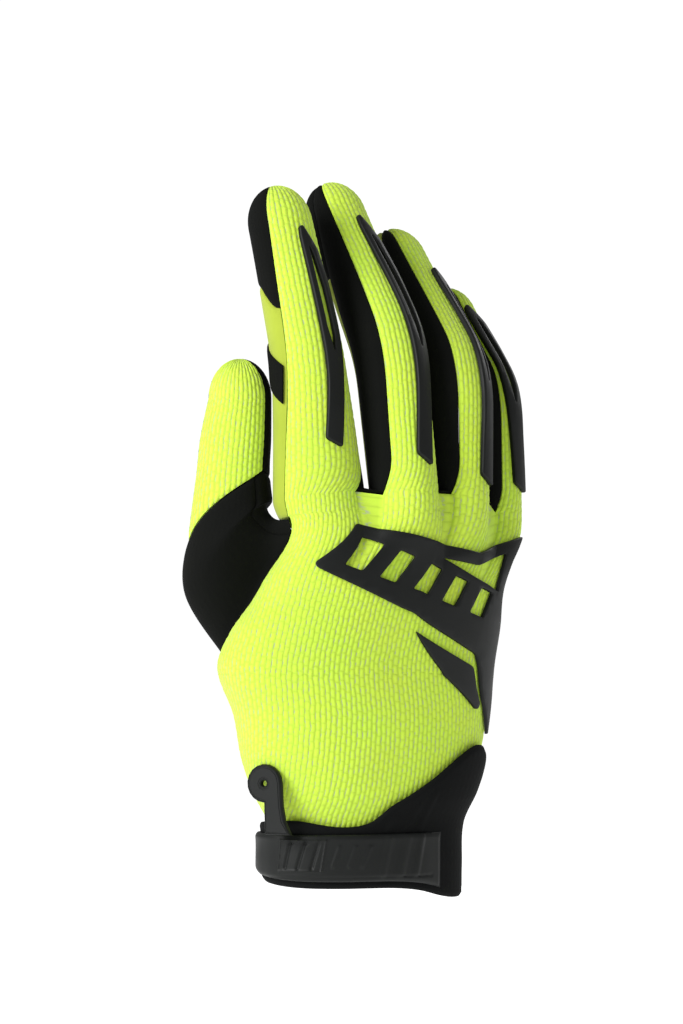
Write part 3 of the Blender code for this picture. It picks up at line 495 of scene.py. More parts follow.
def finger_span(name, side, travel):
    """Width of the cloth on one side of a finger at a travel along it."""
    finger = FINGERS[name]
    core = min(1.0, max(0.0, travel) / CORE_SHARE)
    start, end = through(finger[side + "_thumbward"], core), through(finger[side + "_outward"], core)
    if side == "palm":
        start += 360.0
    girth = through(finger["half_width"], core) + through(finger["half_depth"], core)
    return abs(math.radians(end - start)) * 0.5 * girth * FINGER_WIDTH


def side_layout(side):
    """Where each finger begins and ends across one side of the hand at the finger roots, as
    shares of the whole, and how wide the whole is."""
    spans = [finger_span(name, side, 0.0) for name in FINGER_ORDER]
    web = WEB_SHARE * FINGER_WIDTH
    total = sum(spans) + web * (len(spans) - 1)
    shares = []
    travelled = 0.0
    for span in spans:
        shares.append((travelled / total, (travelled + span) / total))
        travelled += span + web
    return shares, total


SIDE_SHARES, SIDE_TOTALS = {}, {}
for side_name in ("back", "palm"):
    SIDE_SHARES[side_name], SIDE_TOTALS[side_name] = side_layout(side_name)


def hole_spread(height):
    """1 at the middle of the thumb's hole, 0 at its two ends and beyond them."""
    offset = (height - HOLE_CENTRE) / (0.5 * HOLE_HEIGHT)
    return math.sqrt(max(0.0, 1.0 - offset * offset)) ** HOLE_BLUNT


def hole_opening(side, height):
    """How far the thumb's hole opens one side of the hand at a height, in degrees."""
    spread = hole_spread(height)
    return HOLE_BACK * spread if side == "back" else -HOLE_PALM * spread


def root_height(name):
    """Height of a finger's root."""
    return FINGERS[name]["root"][2] * HAND_LENGTH


def joint_radius(name):
    """Mean radius of a finger at its middle joint."""
    return 0.5 * (FINGERS[name]["half_width"][1] + FINGERS[name]["half_depth"][1]) * FINGER_WIDTH


def between_seams(start, end, gap, radius, share):
    """The angle a share of the way from one seam to the next, half a gap inside each."""
    inset = math.degrees(0.5 * gap / radius) * (1 if end > start else -1)
    return start + inset + (end - start - 2 * inset) * share


def column_angle(name, side, across, travel, gap, opening=0.0):
    """The angle round a finger of a share across its back or its palm."""
    start = seam_angle(name, side + "_thumbward", travel)
    end = seam_angle(name, side + "_outward", travel)
    if side == "palm":
        end -= 360.0
    if name == "index":
        start += opening
    return between_seams(start, end, gap, joint_radius(name), across)


def hand_point(side, name, across, share, depth, gap=SEAM_GAP, opening=None):
    """A point of the hand below the finger roots. Share is the height as a share of the root's."""
    first, last = SIDE_SHARES[side][FINGER_ORDER.index(name)]
    root = root_height(name)
    height = share * root
    if opening is None:
        opening = hole_opening(side, share * HAND_LENGTH)
    place = first + (last - first) * across
    margin = 0.5 * gap / (HALF_GIRTH * KNUCKLE_WIDTH)
    place = margin + (1.0 - 2.0 * margin) * place
    angle = angle_at_share(side, height, place) + opening * (1.0 - place) ** HOLE_FADE
    low = oval_point(height, angle, depth)
    weight = smooth_step((share - ROOT_BLEND) / (1.0 - ROOT_BLEND)) ** ROOT_POWER
    if weight <= 0.0:
        return low
    _, directions, length = finger_line(name)
    travel = (height - root) / directions[0].z / length * CORE_SHARE
    high = finger_point(name, column_angle(name, side, across, 0.0, gap, opening), travel, depth)
    return low.lerp(high, weight)


def row_travel(row, top):
    """Rows near the root keep their places, so that they meet the side walls. The others share
    what is left below the top."""
    if row <= LOW_ROWS:
        return row
    return LOW_ROWS + (top - LOW_ROWS) * (row - LOW_ROWS) / (1.0 - LOW_ROWS)


def full_length(across):
    """A finger wall that runs to the tip."""
    return 1.0


def index_tip_edge(across):
    """The lower edge of the index fingertip, lowest at the seam with the knit."""
    return 0.56 + 0.10 * smooth_step(across / 0.3)


def middle_tip_edge(across):
    """The lower edge of the middle fingertip."""
    return 0.64 + 0.03 * math.sin(math.pi * across)


def rim_point(angle, depth, gap):
    """A point of the thumb hole's rim. The angle is 0 at its back edge and 90 at its top."""
    turn = math.radians(angle)
    inward = gap + RIM_MITRE * depth
    height = HOLE_CENTRE + (0.5 * HOLE_HEIGHT - inward) * math.sin(turn)
    side, direction = ("back", 1.0) if math.cos(turn) >= 0.0 else ("palm", -1.0)
    reach = (HOLE_BACK if side == "back" else HOLE_PALM) - math.degrees(inward / (0.5 * HAND_DEPTH))
    opening = direction * reach * abs(math.cos(turn)) ** HOLE_BLUNT
    return hand_point(side, "index", 0.0, height / HAND_LENGTH, (1.0 - RIM_MITRE) * depth, 0.0, opening)


def thumb_frame(travel):
    """Centre, directions and half sizes of the thumb at a travel along its middle line."""
    values = [through([row[column] for row in THUMB_STATIONS], travel) for column in range(6)]
    centre = Vector((values[0] * KNUCKLE_WIDTH, values[1] * HAND_DEPTH,
                     HOLE_CENTRE + values[2] * THUMB_LENGTH))
    roll, tilt = math.radians(THUMB_ROLL), math.radians(values[5])
    back = Vector((math.sin(roll), -math.cos(roll), 0.0))
    level = Vector((0.0, 0.0, 1.0)).cross(back)
    side = level * math.cos(tilt) + Vector((0.0, 0.0, math.sin(tilt)))
    return centre, back.cross(side), back, side, values[3] * THUMB_WIDTH, values[4] * THUMB_WIDTH


def thumb_point(angle, travel, depth):
    """A point of the thumb's tube. Travel is 0 at the rim of its hole and 1 at the tip's end."""
    core = min(1.0, travel / CORE_SHARE)
    centre, ahead, back, side, half_width, half_depth = thumb_frame(core)
    half_width -= depth
    half_depth -= depth
    centre, half_width, half_depth = rounded_tip(travel, centre, ahead, half_width, half_depth)
    turn = math.radians(angle)
    ring = centre + side * (half_width * math.sin(turn)) + back * (half_depth * math.cos(turn))
    weight = math.sin(0.5 * math.pi * min(1.0, core / RIM_BLEND))
    if weight >= 1.0:
        return ring
    return rim_point(angle, depth, 2.0 * SEAM_GAP).lerp(ring, weight)


def thumb_join(angle):
    """Where the black base of the thumb ends, as a travel at an angle round the thumb."""
    step = 360.0 / THUMB_STEPS
    angle = (angle - THUMB_BACK_FROM * step) % 360.0
    rise = (THUMB_BACK_TO - THUMB_BACK_FROM) * step
    if angle <= rise:
        share = angle / rise
    else:
        share = 1.0 - (angle - rise) / (360.0 - rise)
    return CORE_SHARE * (THUMB_JOIN_LOW + (THUMB_JOIN_HIGH - THUMB_JOIN_LOW) * share)


def back_of_hand(x, height, depth):
    """A point on the back of the hand, x from its middle along the surface."""
    share = 0.5 + x / (BACK_GIRTH * KNUCKLE_WIDTH)
    shares = SIDE_SHARES["back"]
    for number, (first, last) in enumerate(shares):
        name = FINGER_ORDER[number]
        if first <= share <= last:
            across = (share - first) / (last - first)
            return hand_point("back", name, across, height / root_height(name), depth)
        if number + 1 < len(shares) and last < share < shares[number + 1][0]:
            other = FINGER_ORDER[number + 1]
            low = hand_point("back", name, 1.0, height / root_height(name), depth)
            high = hand_point("back", other, 0.0, height / root_height(other), depth)
            return low.lerp(high, (share - last) / (shares[number + 1][0] - last))
    return hand_point("back", FINGER_ORDER[-1], 1.0, height / HAND_LENGTH, depth)


def plate_point(x, y):
    """A point of the plate's table in metres."""
    return (x * PLATE_WIDTH, PLATE_FOOT + y * PLATE_HEIGHT)


def plate_vents():
    """Slanted vents along the plate."""
    slope, lean = math.radians(VENT_SLOPE), math.radians(90.0 - VENT_LEAN)
    along = Vector((math.cos(slope), math.sin(slope))) * (0.5 * VENT_WIDTH)
    upwards = Vector((math.cos(lean), math.sin(lean))) * (0.5 * VENT_HEIGHT)
    start, end = (Vector(plate_point(*point)) for point in VENT_LINE)
    vents = []
    for number in range(VENT_COUNT):
        centre = start.lerp(end, number / (VENT_COUNT - 1))
        corners = (centre - along - upwards, centre + along - upwards,
                   centre + along + upwards, centre - along + upwards)
        vents.append([tuple(corner) for corner in corners])
    return vents


def cuff_edges(angle):
    """Heights of the cuff's bottom and top edges at an angle round it."""
    bottom, top = table_at(CUFF_EDGES, angle)
    return bottom * CUFF_SWAY, CUFF_HEIGHT + top * WING_RISE


def tab_outline(tab_height):
    """The pull tab's outline round its disc's centre."""
    stem = STRAP_TOP + SEAM_GAP - tab_height
    outline = [(x * TAB_RADIUS, y * stem) for x, y in TAB_STEM]
    outline.reverse()
    arc = []
    for number in range(TAB_ARC_STEPS + 1):
        turn = math.radians(270.0 * number / TAB_ARC_STEPS)
        arc.append((TAB_RADIUS * math.cos(turn), TAB_RADIUS * math.sin(turn)))
    return outline + arc


def seam_dip(distance):
    """How far cloth rolls inwards at a distance from its seam."""
    return SEAM_DIP * max(0.0, 1.0 - distance / SEAM_REACH) ** 2


def tip_fade(travel):
    """1 along a finger, falling to 0 at its tip's end, where relief and seams run out."""
    return min(1.0, max(0.0, (1.0 - travel) / TIP_FADE))


def knit_height(across, along):
    """Height of the knit's loops at a place on the cloth, from 0 between them to 1 on top."""
    wale = (across + 0.5 * KNIT_WANDER) / KNIT_WALE
    number = math.floor(wale)
    x = 2.0 * (wale - number - 0.5)
    shift = 0.5 * (number % 2) + KNIT_SLIP * math.sin(KNIT_TURN * number)
    y = 2.0 * ((along / KNIT_COURSE + shift) % 1.0 - 0.5)
    return (1.0 - x * x) * (1.0 - KNIT_JOINT * y * y * y * y)


def knit_depth(across, along):
    """How deep the knit's face lies below its middle level at a place on the cloth."""
    return KNIT_SINK - (KNIT_SINK + KNIT_RAISE) * knit_height(across, along)


def flat_depth(across, along):
    """Smooth cloth."""
    return 0.0


def flat_sheet(columns, rows):
    """A flat sheet, one unit to a column along X and one to a row along Y."""
    sheet = bmesh.new()
    bmesh.ops.create_grid(sheet, x_segments=columns, y_segments=rows, size=0.5)
    bmesh.ops.translate(sheet, verts=sheet.verts[:], vec=(0.5, 0.5, 0.0))
    bmesh.ops.scale(sheet, verts=sheet.verts[:], vec=(columns, rows, 1.0))
    return sheet


def keep(name, sheet, material, nodes, crease):
    """Turn a finished bmesh into a piece that stands for solids and rides on the glove."""
    mesh = bpy.data.meshes.new(name)
    sheet.to_mesh(mesh)
    sheet.free()
    mesh.shade_smooth()
    mesh.set_sharp_from_angle(angle=math.radians(crease))
    mesh.materials.append(material)
    piece = bpy.data.objects.new(name, mesh)
    bpy.context.scene.collection.objects.link(piece)
    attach(piece, "root")
    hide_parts(*nodes)


def face_outwards(sheet):
    """Turn the faces of a closed piece outwards."""
    bmesh.ops.recalc_face_normals(sheet, faces=sheet.faces[:])
    if sheet.calc_volume(signed=True) < 0.0:
        bmesh.ops.reverse_faces(sheet, faces=sheet.faces[:])


def lay(sheet, place):
    """Carry the vertices of a flat slab to their places. Place turns a point of the slab and its
    share of the wall into a point in space and its place on the flat cloth."""
    cloth = {}
    for vert in sheet.verts:
        point, across, along = place(vert.co.x, vert.co.y, -vert.co.z)
        vert.co = point
        cloth[vert] = (across, along)
    layer = sheet.loops.layers.uv.new("surface")
    for face in sheet.faces:
        for loop in face.loops:
            loop[layer].uv = cloth[loop.vert]
    bmesh.ops.remove_doubles(sheet, verts=sheet.verts[:], dist=MERGE)
    face_outwards(sheet)


def cloth_wall(name, sheet, fine, place, material, nodes):
    """Thicken a flat sheet into a closed wall whose outer face is divided finer, and lay it."""
    made = bmesh.ops.extrude_face_region(sheet, geom=sheet.faces[:], use_keep_orig=True)
    under = [item for item in made["geom"] if isinstance(item, bmesh.types.BMVert)]
    bmesh.ops.translate(sheet, verts=under, vec=(0.0, 0.0, -1.0))
    upper = [edge for edge in sheet.edges if all(vert.co.z > -0.5 for vert in edge.verts)]
    if fine > 1:
        bmesh.ops.subdivide_edges(sheet, edges=upper, cuts=fine - 1, use_grid_fill=True)
    lay(sheet, place)
    keep(name, sheet, material, nodes, crease=60.0)


def at_row(values, y):
    """The value at a place between evenly numbered rows."""
    row = min(len(values) - 2, max(0, int(y)))
    return values[row] + (values[row + 1] - values[row]) * (y - row)


def share_at_angle(side, height, angle):
    """How far round one side of the hand an angle lies, as a share of the side's length."""
    lengths = arc_lengths(side, height)
    part = (angle - RADIAL_SEAM) / (SIDE_ENDS[side] - RADIAL_SEAM)
    return at_row(lengths, part * ARC_STEPS) / lengths[-1]


def hand_place(side, name, across, share, wall, relief):
    """Point and cloth place of the hand's cloth below the finger roots."""
    shares = SIDE_SHARES[side]
    index = FINGER_ORDER.index(name)
    first, last = shares[index]
    root = root_height(name)
    height = share * root
    total = SIDE_TOTALS[side]
    weight = smooth_step((share - ROOT_BLEND) / (1.0 - ROOT_BLEND))
    girth = arc_lengths(side, height)[-1] * (1.0 - weight) + total * weight
    position = first + (last - first) * across
    distance = min(position, 1.0 - position) * girth
    for left, right in zip(shares, shares[1:]):
        aside = abs(position - 0.5 * (left[1] + right[0])) * girth - 0.5 * WEB_SHARE * FINGER_WIDTH
        distance = min(distance, math.hypot(max(0.0, aside), root - height))
    opened = hole_opening(side, share * HAND_LENGTH) * (1.0 - position) ** HOLE_FADE * (1.0 - weight)
    angle = angle_at_share(side, height, position) + opened
    u = (share_at_angle(side, height, angle) - GRAIN_SHARE) * girth + (GRAIN_SHARE - 0.5) * total
    depth = wall * FABRIC + seam_dip(distance)
    if wall == 0.0:
        depth += relief(u, height)
    return hand_point(side, name, across, share, depth), u, height


def panel_rows():
    """Heights of the panel's coarse rows, closer together at the ends of the thumb's hole."""
    low = (HOLE_CENTRE - 0.5 * HOLE_HEIGHT) / HAND_LENGTH
    high = (HOLE_CENTRE + 0.5 * HOLE_HEIGHT) / HAND_LENGTH
    near = [offset / HAND_LENGTH for offset in (0.0, 0.0003, 0.0012, 0.0032)]
    step = ROW_STEP / HAND_LENGTH
    rows = [low - step * number for number in range(int((low - PANEL_FOOT) / step), 0, -1)]
    rows[0] = PANEL_FOOT
    rows += [low + offset for offset in near]
    between = high - low - 2 * near[-1]
    count = int(between / step)
    rows += [low + near[-1] + between * number / count for number in range(1, count)]
    rows += [high - offset for offset in reversed(near)]
    rows.append(0.5 * (high + 1.0))
    return rows


def travel_rows():
    """Travels of a finger's coarse rows."""
    rows = [0.0, 0.012, 0.030]
    while rows[-1] + FINGER_STEP < CORE_SHARE - 0.01:
        rows.append(rows[-1] + FINGER_STEP)
    return rows + [CORE_SHARE, 0.875, 0.905, 0.935, 0.960, 0.982, 1.0]


def add_panel(side, tops, relief, material):
    """The back or the palm of the glove with its four fingers."""
    low_rows, high_rows = panel_rows(), travel_rows()
    count = PANEL_CELLS[side]
    columns = len(FINGER_ORDER) * (count + 1) - 1
    sheet = flat_sheet(columns, len(low_rows) + len(high_rows) - 1)
    webs = []
    for face in sheet.faces:
        centre = face.calc_center_median()
        if centre.y > len(low_rows) and int(centre.x) % (count + 1) == count:
            webs.append(face)
    bmesh.ops.delete(sheet, geom=webs, context="FACES")

    def place(column, row, wall):
        index = min(len(FINGER_ORDER) - 1, int(column + 0.0001) // (count + 1))
        local = column - index * (count + 1)
        name = FINGER_ORDER[index]
        if row <= len(low_rows):
            share = at_row(low_rows + [1.0], row)
            if local <= count + 0.0001:
                return hand_place(side, name, min(1.0, local / count), share, wall, relief)
            low, u_low, v_low = hand_place(side, name, 1.0, share, wall, relief)
            high, u_high, v_high = hand_place(side, FINGER_ORDER[index + 1], 0.0, share, wall, relief)
            part = local - count
            u = u_low + (u_high - u_low) * part
            return low.lerp(high, part), u, v_low + (v_high - v_low) * part
        across = min(1.0, local / count)
        if local > count + 0.5:
            name, across = FINGER_ORDER[index + 1], 0.0
        top = tops[name](across)
        travel = row_travel(at_row(high_rows, row - len(low_rows)), top)
        span = finger_span(name, side, travel)
        first, last = SIDE_SHARES[side][FINGER_ORDER.index(name)]
        finger = FINGERS[name]
        reach = finger["core"] * MIDDLE_LENGTH / CORE_SHARE
        u = (0.5 * (first + last) - 0.5) * SIDE_TOTALS[side] + (across - 0.5) * span
        v = root_height(name) + travel * reach
        distance = min(across, 1.0 - across) * span
        if top < 1.0:
            distance = min(distance, (top - travel) * reach)
        fade = tip_fade(travel)
        depth = wall * FABRIC + seam_dip(distance) * fade
        if wall == 0.0:
            depth += relief(u, v) * fade
        angle = column_angle(name, side, across, travel, SEAM_GAP)
        return finger_point(name, angle, travel, depth), u, v

    cloth_wall(side + "_cloth", sheet, PANEL_FINE[side], place, material, [side + "_panel"])


def add_finger_tip(finger_name, edge, material):
    """The black fingertip above its edge on a finger's palm side."""
    columns, rows = 6, 12
    sheet = flat_sheet(columns, rows)
    seam = SEAM_GAP / MIDDLE_LENGTH
    reach = FINGERS[finger_name]["core"] * MIDDLE_LENGTH / CORE_SHARE

    def place(column, row, wall):
        across = column / columns
        low = edge(across) + seam
        share = row / rows
        travel = low + (1.0 - low) * (1.0 - (1.0 - share) ** 1.25)
        span = finger_span(finger_name, "palm", travel)
        distance = min(across * span, (1.0 - across) * span, (travel - low) * reach)
        fade = tip_fade(travel)
        angle = column_angle(finger_name, "palm", across, travel, SEAM_GAP)
        point = finger_point(finger_name, angle, travel, wall * FABRIC + seam_dip(distance) * fade)
        return point, (across - 0.5) * span, travel * reach

    name = finger_name + "_tip"
    cloth_wall(name + "_cloth", sheet, 4, place, material, [name])


def add_side_wall(first, second, material):
    """The side wall that runs down one finger, through the crotch and up the next."""
    travels = travel_rows()
    count = len(travels)
    columns = 4
    sheet = flat_sheet(columns, 2 * count - 1)

    def edge_point(finger_name, towards, travel, share, depth):
        seams = ("back_" + towards, "palm_" + towards)
        start, end = (seam_angle(finger_name, seam, travel) for seam in seams)
        if travel < WEB_TRAVEL:
            core = FINGERS[finger_name]["core"] * MIDDLE_LENGTH
            lift = (SEAM_GAP + FABRIC - min(depth, FABRIC)) * CORE_SHARE / core
            travel = lift + travel * (1.0 - lift / WEB_TRAVEL)
            low = [seam_angle(finger_name, seam, 0.0) for seam in seams]
            high = [seam_angle(finger_name, seam, WEB_TRAVEL) for seam in seams]
            start, end = (a + (b - a) * (travel / WEB_TRAVEL) for a, b in zip(low, high))
        radius = joint_radius(finger_name)
        angle = between_seams(start, end, SEAM_GAP, radius, share)
        return finger_point(finger_name, angle, travel, depth), abs(math.radians(end - start)) * radius

    def place(column, row, wall):
        share = column / columns
        part = min(1.0, max(0.0, row - (count - 1)))
        down = at_row(travels, min(count - 1.0, max(0.0, count - 1 - row)))
        up = at_row(travels, min(count - 1.0, max(0.0, row - count)))
        points = []
        for finger_name, towards, travel in ((first, "outward", down), (second, "thumbward", up)):
            if (finger_name == first and part >= 1.0) or (finger_name == second and part <= 0.0):
                points.append(None)
                continue
            width = edge_point(finger_name, towards, travel, share, 0.0)[1]
            fade = tip_fade(travel)
            depth = wall * FABRIC + seam_dip(min(share, 1.0 - share) * width) * fade
            points.append(edge_point(finger_name, towards, travel, share, depth)[0])
        if points[0] is None:
            point, travel = points[1], up
        elif points[1] is None:
            point, travel = points[0], -down
        else:
            point, travel = points[0].lerp(points[1], part), 0.0
        return point, (share - 0.5) * 0.012, travel * MIDDLE_LENGTH

    name = "fourchette_" + first + "_" + second
    cloth_wall(name + "_cloth", sheet, 2, place, material, [name])


def add_thumb_cloth(name, start, end, upper, relief, fine, material):
    """A piece of the thumb between two steps round it: above the join or below it."""
    columns = (end - start) * 2
    rows = 18
    sheet = flat_sheet(columns, rows)
    seam = SEAM_GAP / THUMB_LENGTH
    radius = 0.5 * THUMB_WIDTH
    inset = math.degrees(0.5 * SEAM_GAP / radius)
    sweep = (end - start) * 360.0 / THUMB_STEPS

    def place(column, row, wall):
        turn = sweep * column / columns
        angle = start * 360.0 / THUMB_STEPS + min(sweep - inset, max(inset, turn))
        join = thumb_join(angle)
        low, high = (join + seam, 1.0) if upper else (0.0, join - seam)
        travel = low + (high - low) * (row / rows if not upper else 1.0 - (1.0 - row / rows) ** 1.2)
        along = ((travel - low) if upper else (high - travel)) * THUMB_LENGTH
        distance = min(math.radians(turn) * radius, math.radians(sweep - turn) * radius, along)
        if not upper:
            distance = min(distance, travel * THUMB_LENGTH)
        fade = tip_fade(travel) if upper else 1.0
        u, v = math.radians(angle) * radius, travel * THUMB_LENGTH
        depth = wall * FABRIC + seam_dip(distance) * fade
        if wall == 0.0:
            depth += relief(u, v) * fade
        return thumb_point(angle, travel, depth), u, v

    cloth_wall(name + "_cloth", sheet, fine, place, material, [name])


def add_band(material):
    """The black band that slants across the index finger's palm side."""
    columns, rows = 10, 4
    core = FINGERS["index"]["core"] * MIDDLE_LENGTH
    sheet = flat_sheet(columns, rows)

    def place(column, row, wall):
        across = column / columns
        travel = (0.40 + 0.16 * across) * CORE_SHARE + BAND_WIDTH / core * (row / rows - 0.5)
        angle = column_angle("index", "palm", 0.02 + 0.5 * across, travel, SEAM_GAP)
        edge = min(row, rows - row) / rows * BAND_WIDTH
        depth = -SEAM_GAP - 0.5 * FABRIC + 0.4 * seam_dip(edge) + 0.5 * FABRIC * wall
        return finger_point("index", angle, travel, depth), across * 0.02, travel * core

    cloth_wall("index_band_cloth", sheet, 3, place, material, ["index_band"])


def rounded(loop, radius):
    """An outline with its corners rounded off, each over no more than the radius."""
    if radius <= 0.0:
        return list(loop)
    points = []
    for number, corner in enumerate(loop):
        corner = Vector(corner)
        before = Vector(loop[number - 1]) - corner
        after = Vector(loop[(number + 1) % len(loop)]) - corner
        start = corner + before * min(0.45, radius / before.length)
        end = corner + after * min(0.45, radius / after.length)
        for part in (0.0, 0.33, 0.67, 1.0):
            points.append(tuple(start.lerp(corner, part).lerp(corner.lerp(end, part), part)))
    return points


def rubber_sheet(outline, holes, thickness, corner, step_x, step_y, grooves=()):
    """A flat moulded sheet: rounded corners, soft edges, and lines a step apart to bend it on."""
    sheet = bmesh.new()
    for loop, radius in [(outline, corner)] + [(hole, 0.5 * corner) for hole in holes]:
        verts = [sheet.verts.new((x, y, 0.0)) for x, y in rounded(loop, radius)]
        for number, vert in enumerate(verts):
            sheet.edges.new((vert, verts[(number + 1) % len(verts)]))
    bmesh.ops.triangle_fill(sheet, use_beauty=True, use_dissolve=False, edges=sheet.edges[:])
    bmesh.ops.recalc_face_normals(sheet, faces=sheet.faces[:])
    if sum(face.normal.z for face in sheet.faces) < 0.0:
        bmesh.ops.reverse_faces(sheet, faces=sheet.faces[:])
    edge_rise = 0.45 * thickness
    made = bmesh.ops.extrude_face_region(sheet, geom=sheet.faces[:], use_keep_orig=True)
    top = [item for item in made["geom"] if isinstance(item, bmesh.types.BMFace)]
    raised = [item for item in made["geom"] if isinstance(item, bmesh.types.BMVert)]
    bmesh.ops.translate(sheet, verts=raised, vec=(0.0, 0.0, thickness - edge_rise))
    for width, rise in ((0.10, 0.45), (0.22, 0.35), (0.38, 0.20)):
        bmesh.ops.inset_region(sheet, faces=top, use_boundary=True, use_even_offset=False,
                               thickness=width * edge_rise, depth=rise * edge_rise)
    for width, rise in grooves:
        bmesh.ops.inset_region(sheet, faces=top, use_boundary=True, use_even_offset=False,
                               thickness=width, depth=rise)
    for axis, step in ((0, step_x), (1, step_y)):
        low, high = min(point[axis] for point in outline), max(point[axis] for point in outline)
        count = int((high - low) / step)
        for number in range(1, count + 1):
            centre, normal = Vector((0.0, 0.0, 0.0)), Vector((0.0, 0.0, 0.0))
            centre[axis] = low + number * (high - low) / (count + 1)
            normal[axis] = 1.0
            geometry = sheet.verts[:] + sheet.edges[:] + sheet.faces[:]
            bmesh.ops.bisect_plane(sheet, geom=geometry, dist=1e-7, plane_co=centre, plane_no=normal)
    return sheet


def bend_rubber(name, sheet, place, material, nodes):
    """Bend a flat moulded sheet to its place."""
    layer = sheet.loops.layers.uv.new("surface")
    for face in sheet.faces:
        for loop in face.loops:
            loop[layer].uv = loop.vert.co.xy
    for vert in sheet.verts:
        vert.co = place(vert.co.x, vert.co.y, vert.co.z)
    face_outwards(sheet)
    keep(name, sheet, material, nodes, crease=35.0)


def add_finger_guard(finger_name, material):
    """A moulded finger guard, split like a hairpin, that stands on the knit of one finger."""
    guard = GUARDS[finger_name]
    finger = FINGERS[finger_name]
    core = finger["core"] * MIDDLE_LENGTH
    start, length = guard["bottom"] * core, (guard["top"] - guard["bottom"]) * core
    outline = [(x * GUARD_WIDTH, start + y * length) for x, y in GUARD_OUTLINE]
    slot_line = [(x * GUARD_WIDTH, start + y * length) for x, y in GUARD_SLOT]
    sheet = rubber_sheet(outline, [slot_line], RUBBER, 0.0011, 0.2 * GUARD_WIDTH, 0.0020)

    def place(x, y, rise):
        share = y / core
        radius = through(finger["half_width"], share) * FINGER_WIDTH
        angle = through(guard["lie"], share) + math.degrees(x / radius)
        return finger_point(finger_name, angle, share * CORE_SHARE, -SEAM_GAP - rise)

    name = "guard_" + finger_name
    bend_rubber(name + "_moulding", sheet, place, material, [name])


def add_back_plate(name, outline, holes, material):
    """A thin moulded plate that stands on the back of the hand."""
    sheet = rubber_sheet(outline, holes, PLATE_WALL, 0.0012, 0.0020, 0.0025)

    def place(x, y, rise):
        return back_of_hand(x, y, -PLATE_EASE - rise)

    bend_rubber(name + "_moulding", sheet, place, material, [name])


def line_distance(x, y, start, end):
    """Distance from a point to a line between two points of a flat drawing."""
    run_x, run_y = end[0] - start[0], end[1] - start[1]
    part = ((x - start[0]) * run_x + (y - start[1]) * run_y) / (run_x * run_x + run_y * run_y)
    part = min(1.0, max(0.0, part))
    return math.hypot(x - start[0] - run_x * part, y - start[1] - run_y * part)


def round_cuff(lines):
    """Lines drawn by angle and height, with their angles turned to lengths round the cuff."""
    return [(math.radians(start) * CUFF_MEAN, low, math.radians(end) * CUFF_MEAN, high, width, rise)
            for start, low, end, high, width, rise in lines]


STRAP_RELIEF, CUFF_RELIEF = round_cuff(STRAP_LINES), round_cuff(CUFF_LINES)


def relief_at(table, x, y):
    """Sum of the raised and sunken lines of a drawing at one of its points."""
    rise = 0.0
    for start_x, start_y, end_x, end_y, half_width, height in table:
        distance = line_distance(x, y, (start_x, start_y), (end_x, end_y)) / half_width
        if distance < 1.0:
            rise += height * (1.0 - distance * distance) ** 2
    return rise


def add_cuff(material):
    """The neoprene cuff, open at a narrow slit on the palm side."""
    columns, rows = 120, 12
    start = CUFF_SLIT + 0.5 * CUFF_SLIT_WIDTH
    sweep = 360.0 - CUFF_SLIT_WIDTH
    sheet = flat_sheet(columns, rows)

    def place(column, row, wall):
        angle = start + sweep * column / columns
        bottom, top = cuff_edges(angle)
        height = bottom + (top - bottom) * row / rows
        edge = min(height - bottom, top - height)
        roll = CUFF_WALL * 0.35 * max(0.0, 1.0 - edge / EDGE_ROLL) ** 2
        u = math.radians(angle) * CUFF_MEAN
        depth = -CUFF_EASE - CUFF_WALL + roll if wall == 0.0 else -CUFF_EASE - roll
        if wall == 0.0:
            depth -= relief_at(CUFF_RELIEF, u, height) + relief_at(CUFF_HEM, 0.0, height - bottom)
        return oval_point(height, angle, depth), u, height

    cloth_wall("cuff_band_cloth", sheet, 3, place, material, ["cuff_band"])


def add_strap(material):
    """The moulded closing strap round the thumb side and the back of the cuff."""
    columns, rows = 116, 12
    sheet = flat_sheet(columns, rows)
    seat = -CUFF_EASE - CUFF_WALL - SEAM_GAP

    def place(column, row, wall):
        angle = STRAP_FROM + (STRAP_TO - STRAP_FROM) * column / columns
        bottom = cuff_edges(angle)[0] + STRAP_MARGIN
        height = bottom + (STRAP_TOP - bottom) * row / rows
        fade = smooth_step((STRAP_TO - angle) / STRAP_FADE)
        u = math.radians(angle) * CUFF_MEAN
        ends = math.radians(min(STRAP_TO - angle, angle - STRAP_FROM)) * CUFF_MEAN
        edge = min(height - bottom, STRAP_TOP - height, ends)
        depth = seat
        if wall == 0.0:
            depth -= STRAP_WALL * (STRAP_THIN + (1.0 - STRAP_THIN) * fade)
            depth += STRAP_WALL * 0.5 * max(0.0, 1.0 - edge / EDGE_ROLL) ** 2
            depth -= relief_at(STRAP_RELIEF, u, height)
        return oval_point(height, angle, depth), u, height

    cloth_wall("cuff_strap_moulding", sheet, 3, place, material, ["cuff_strap"])


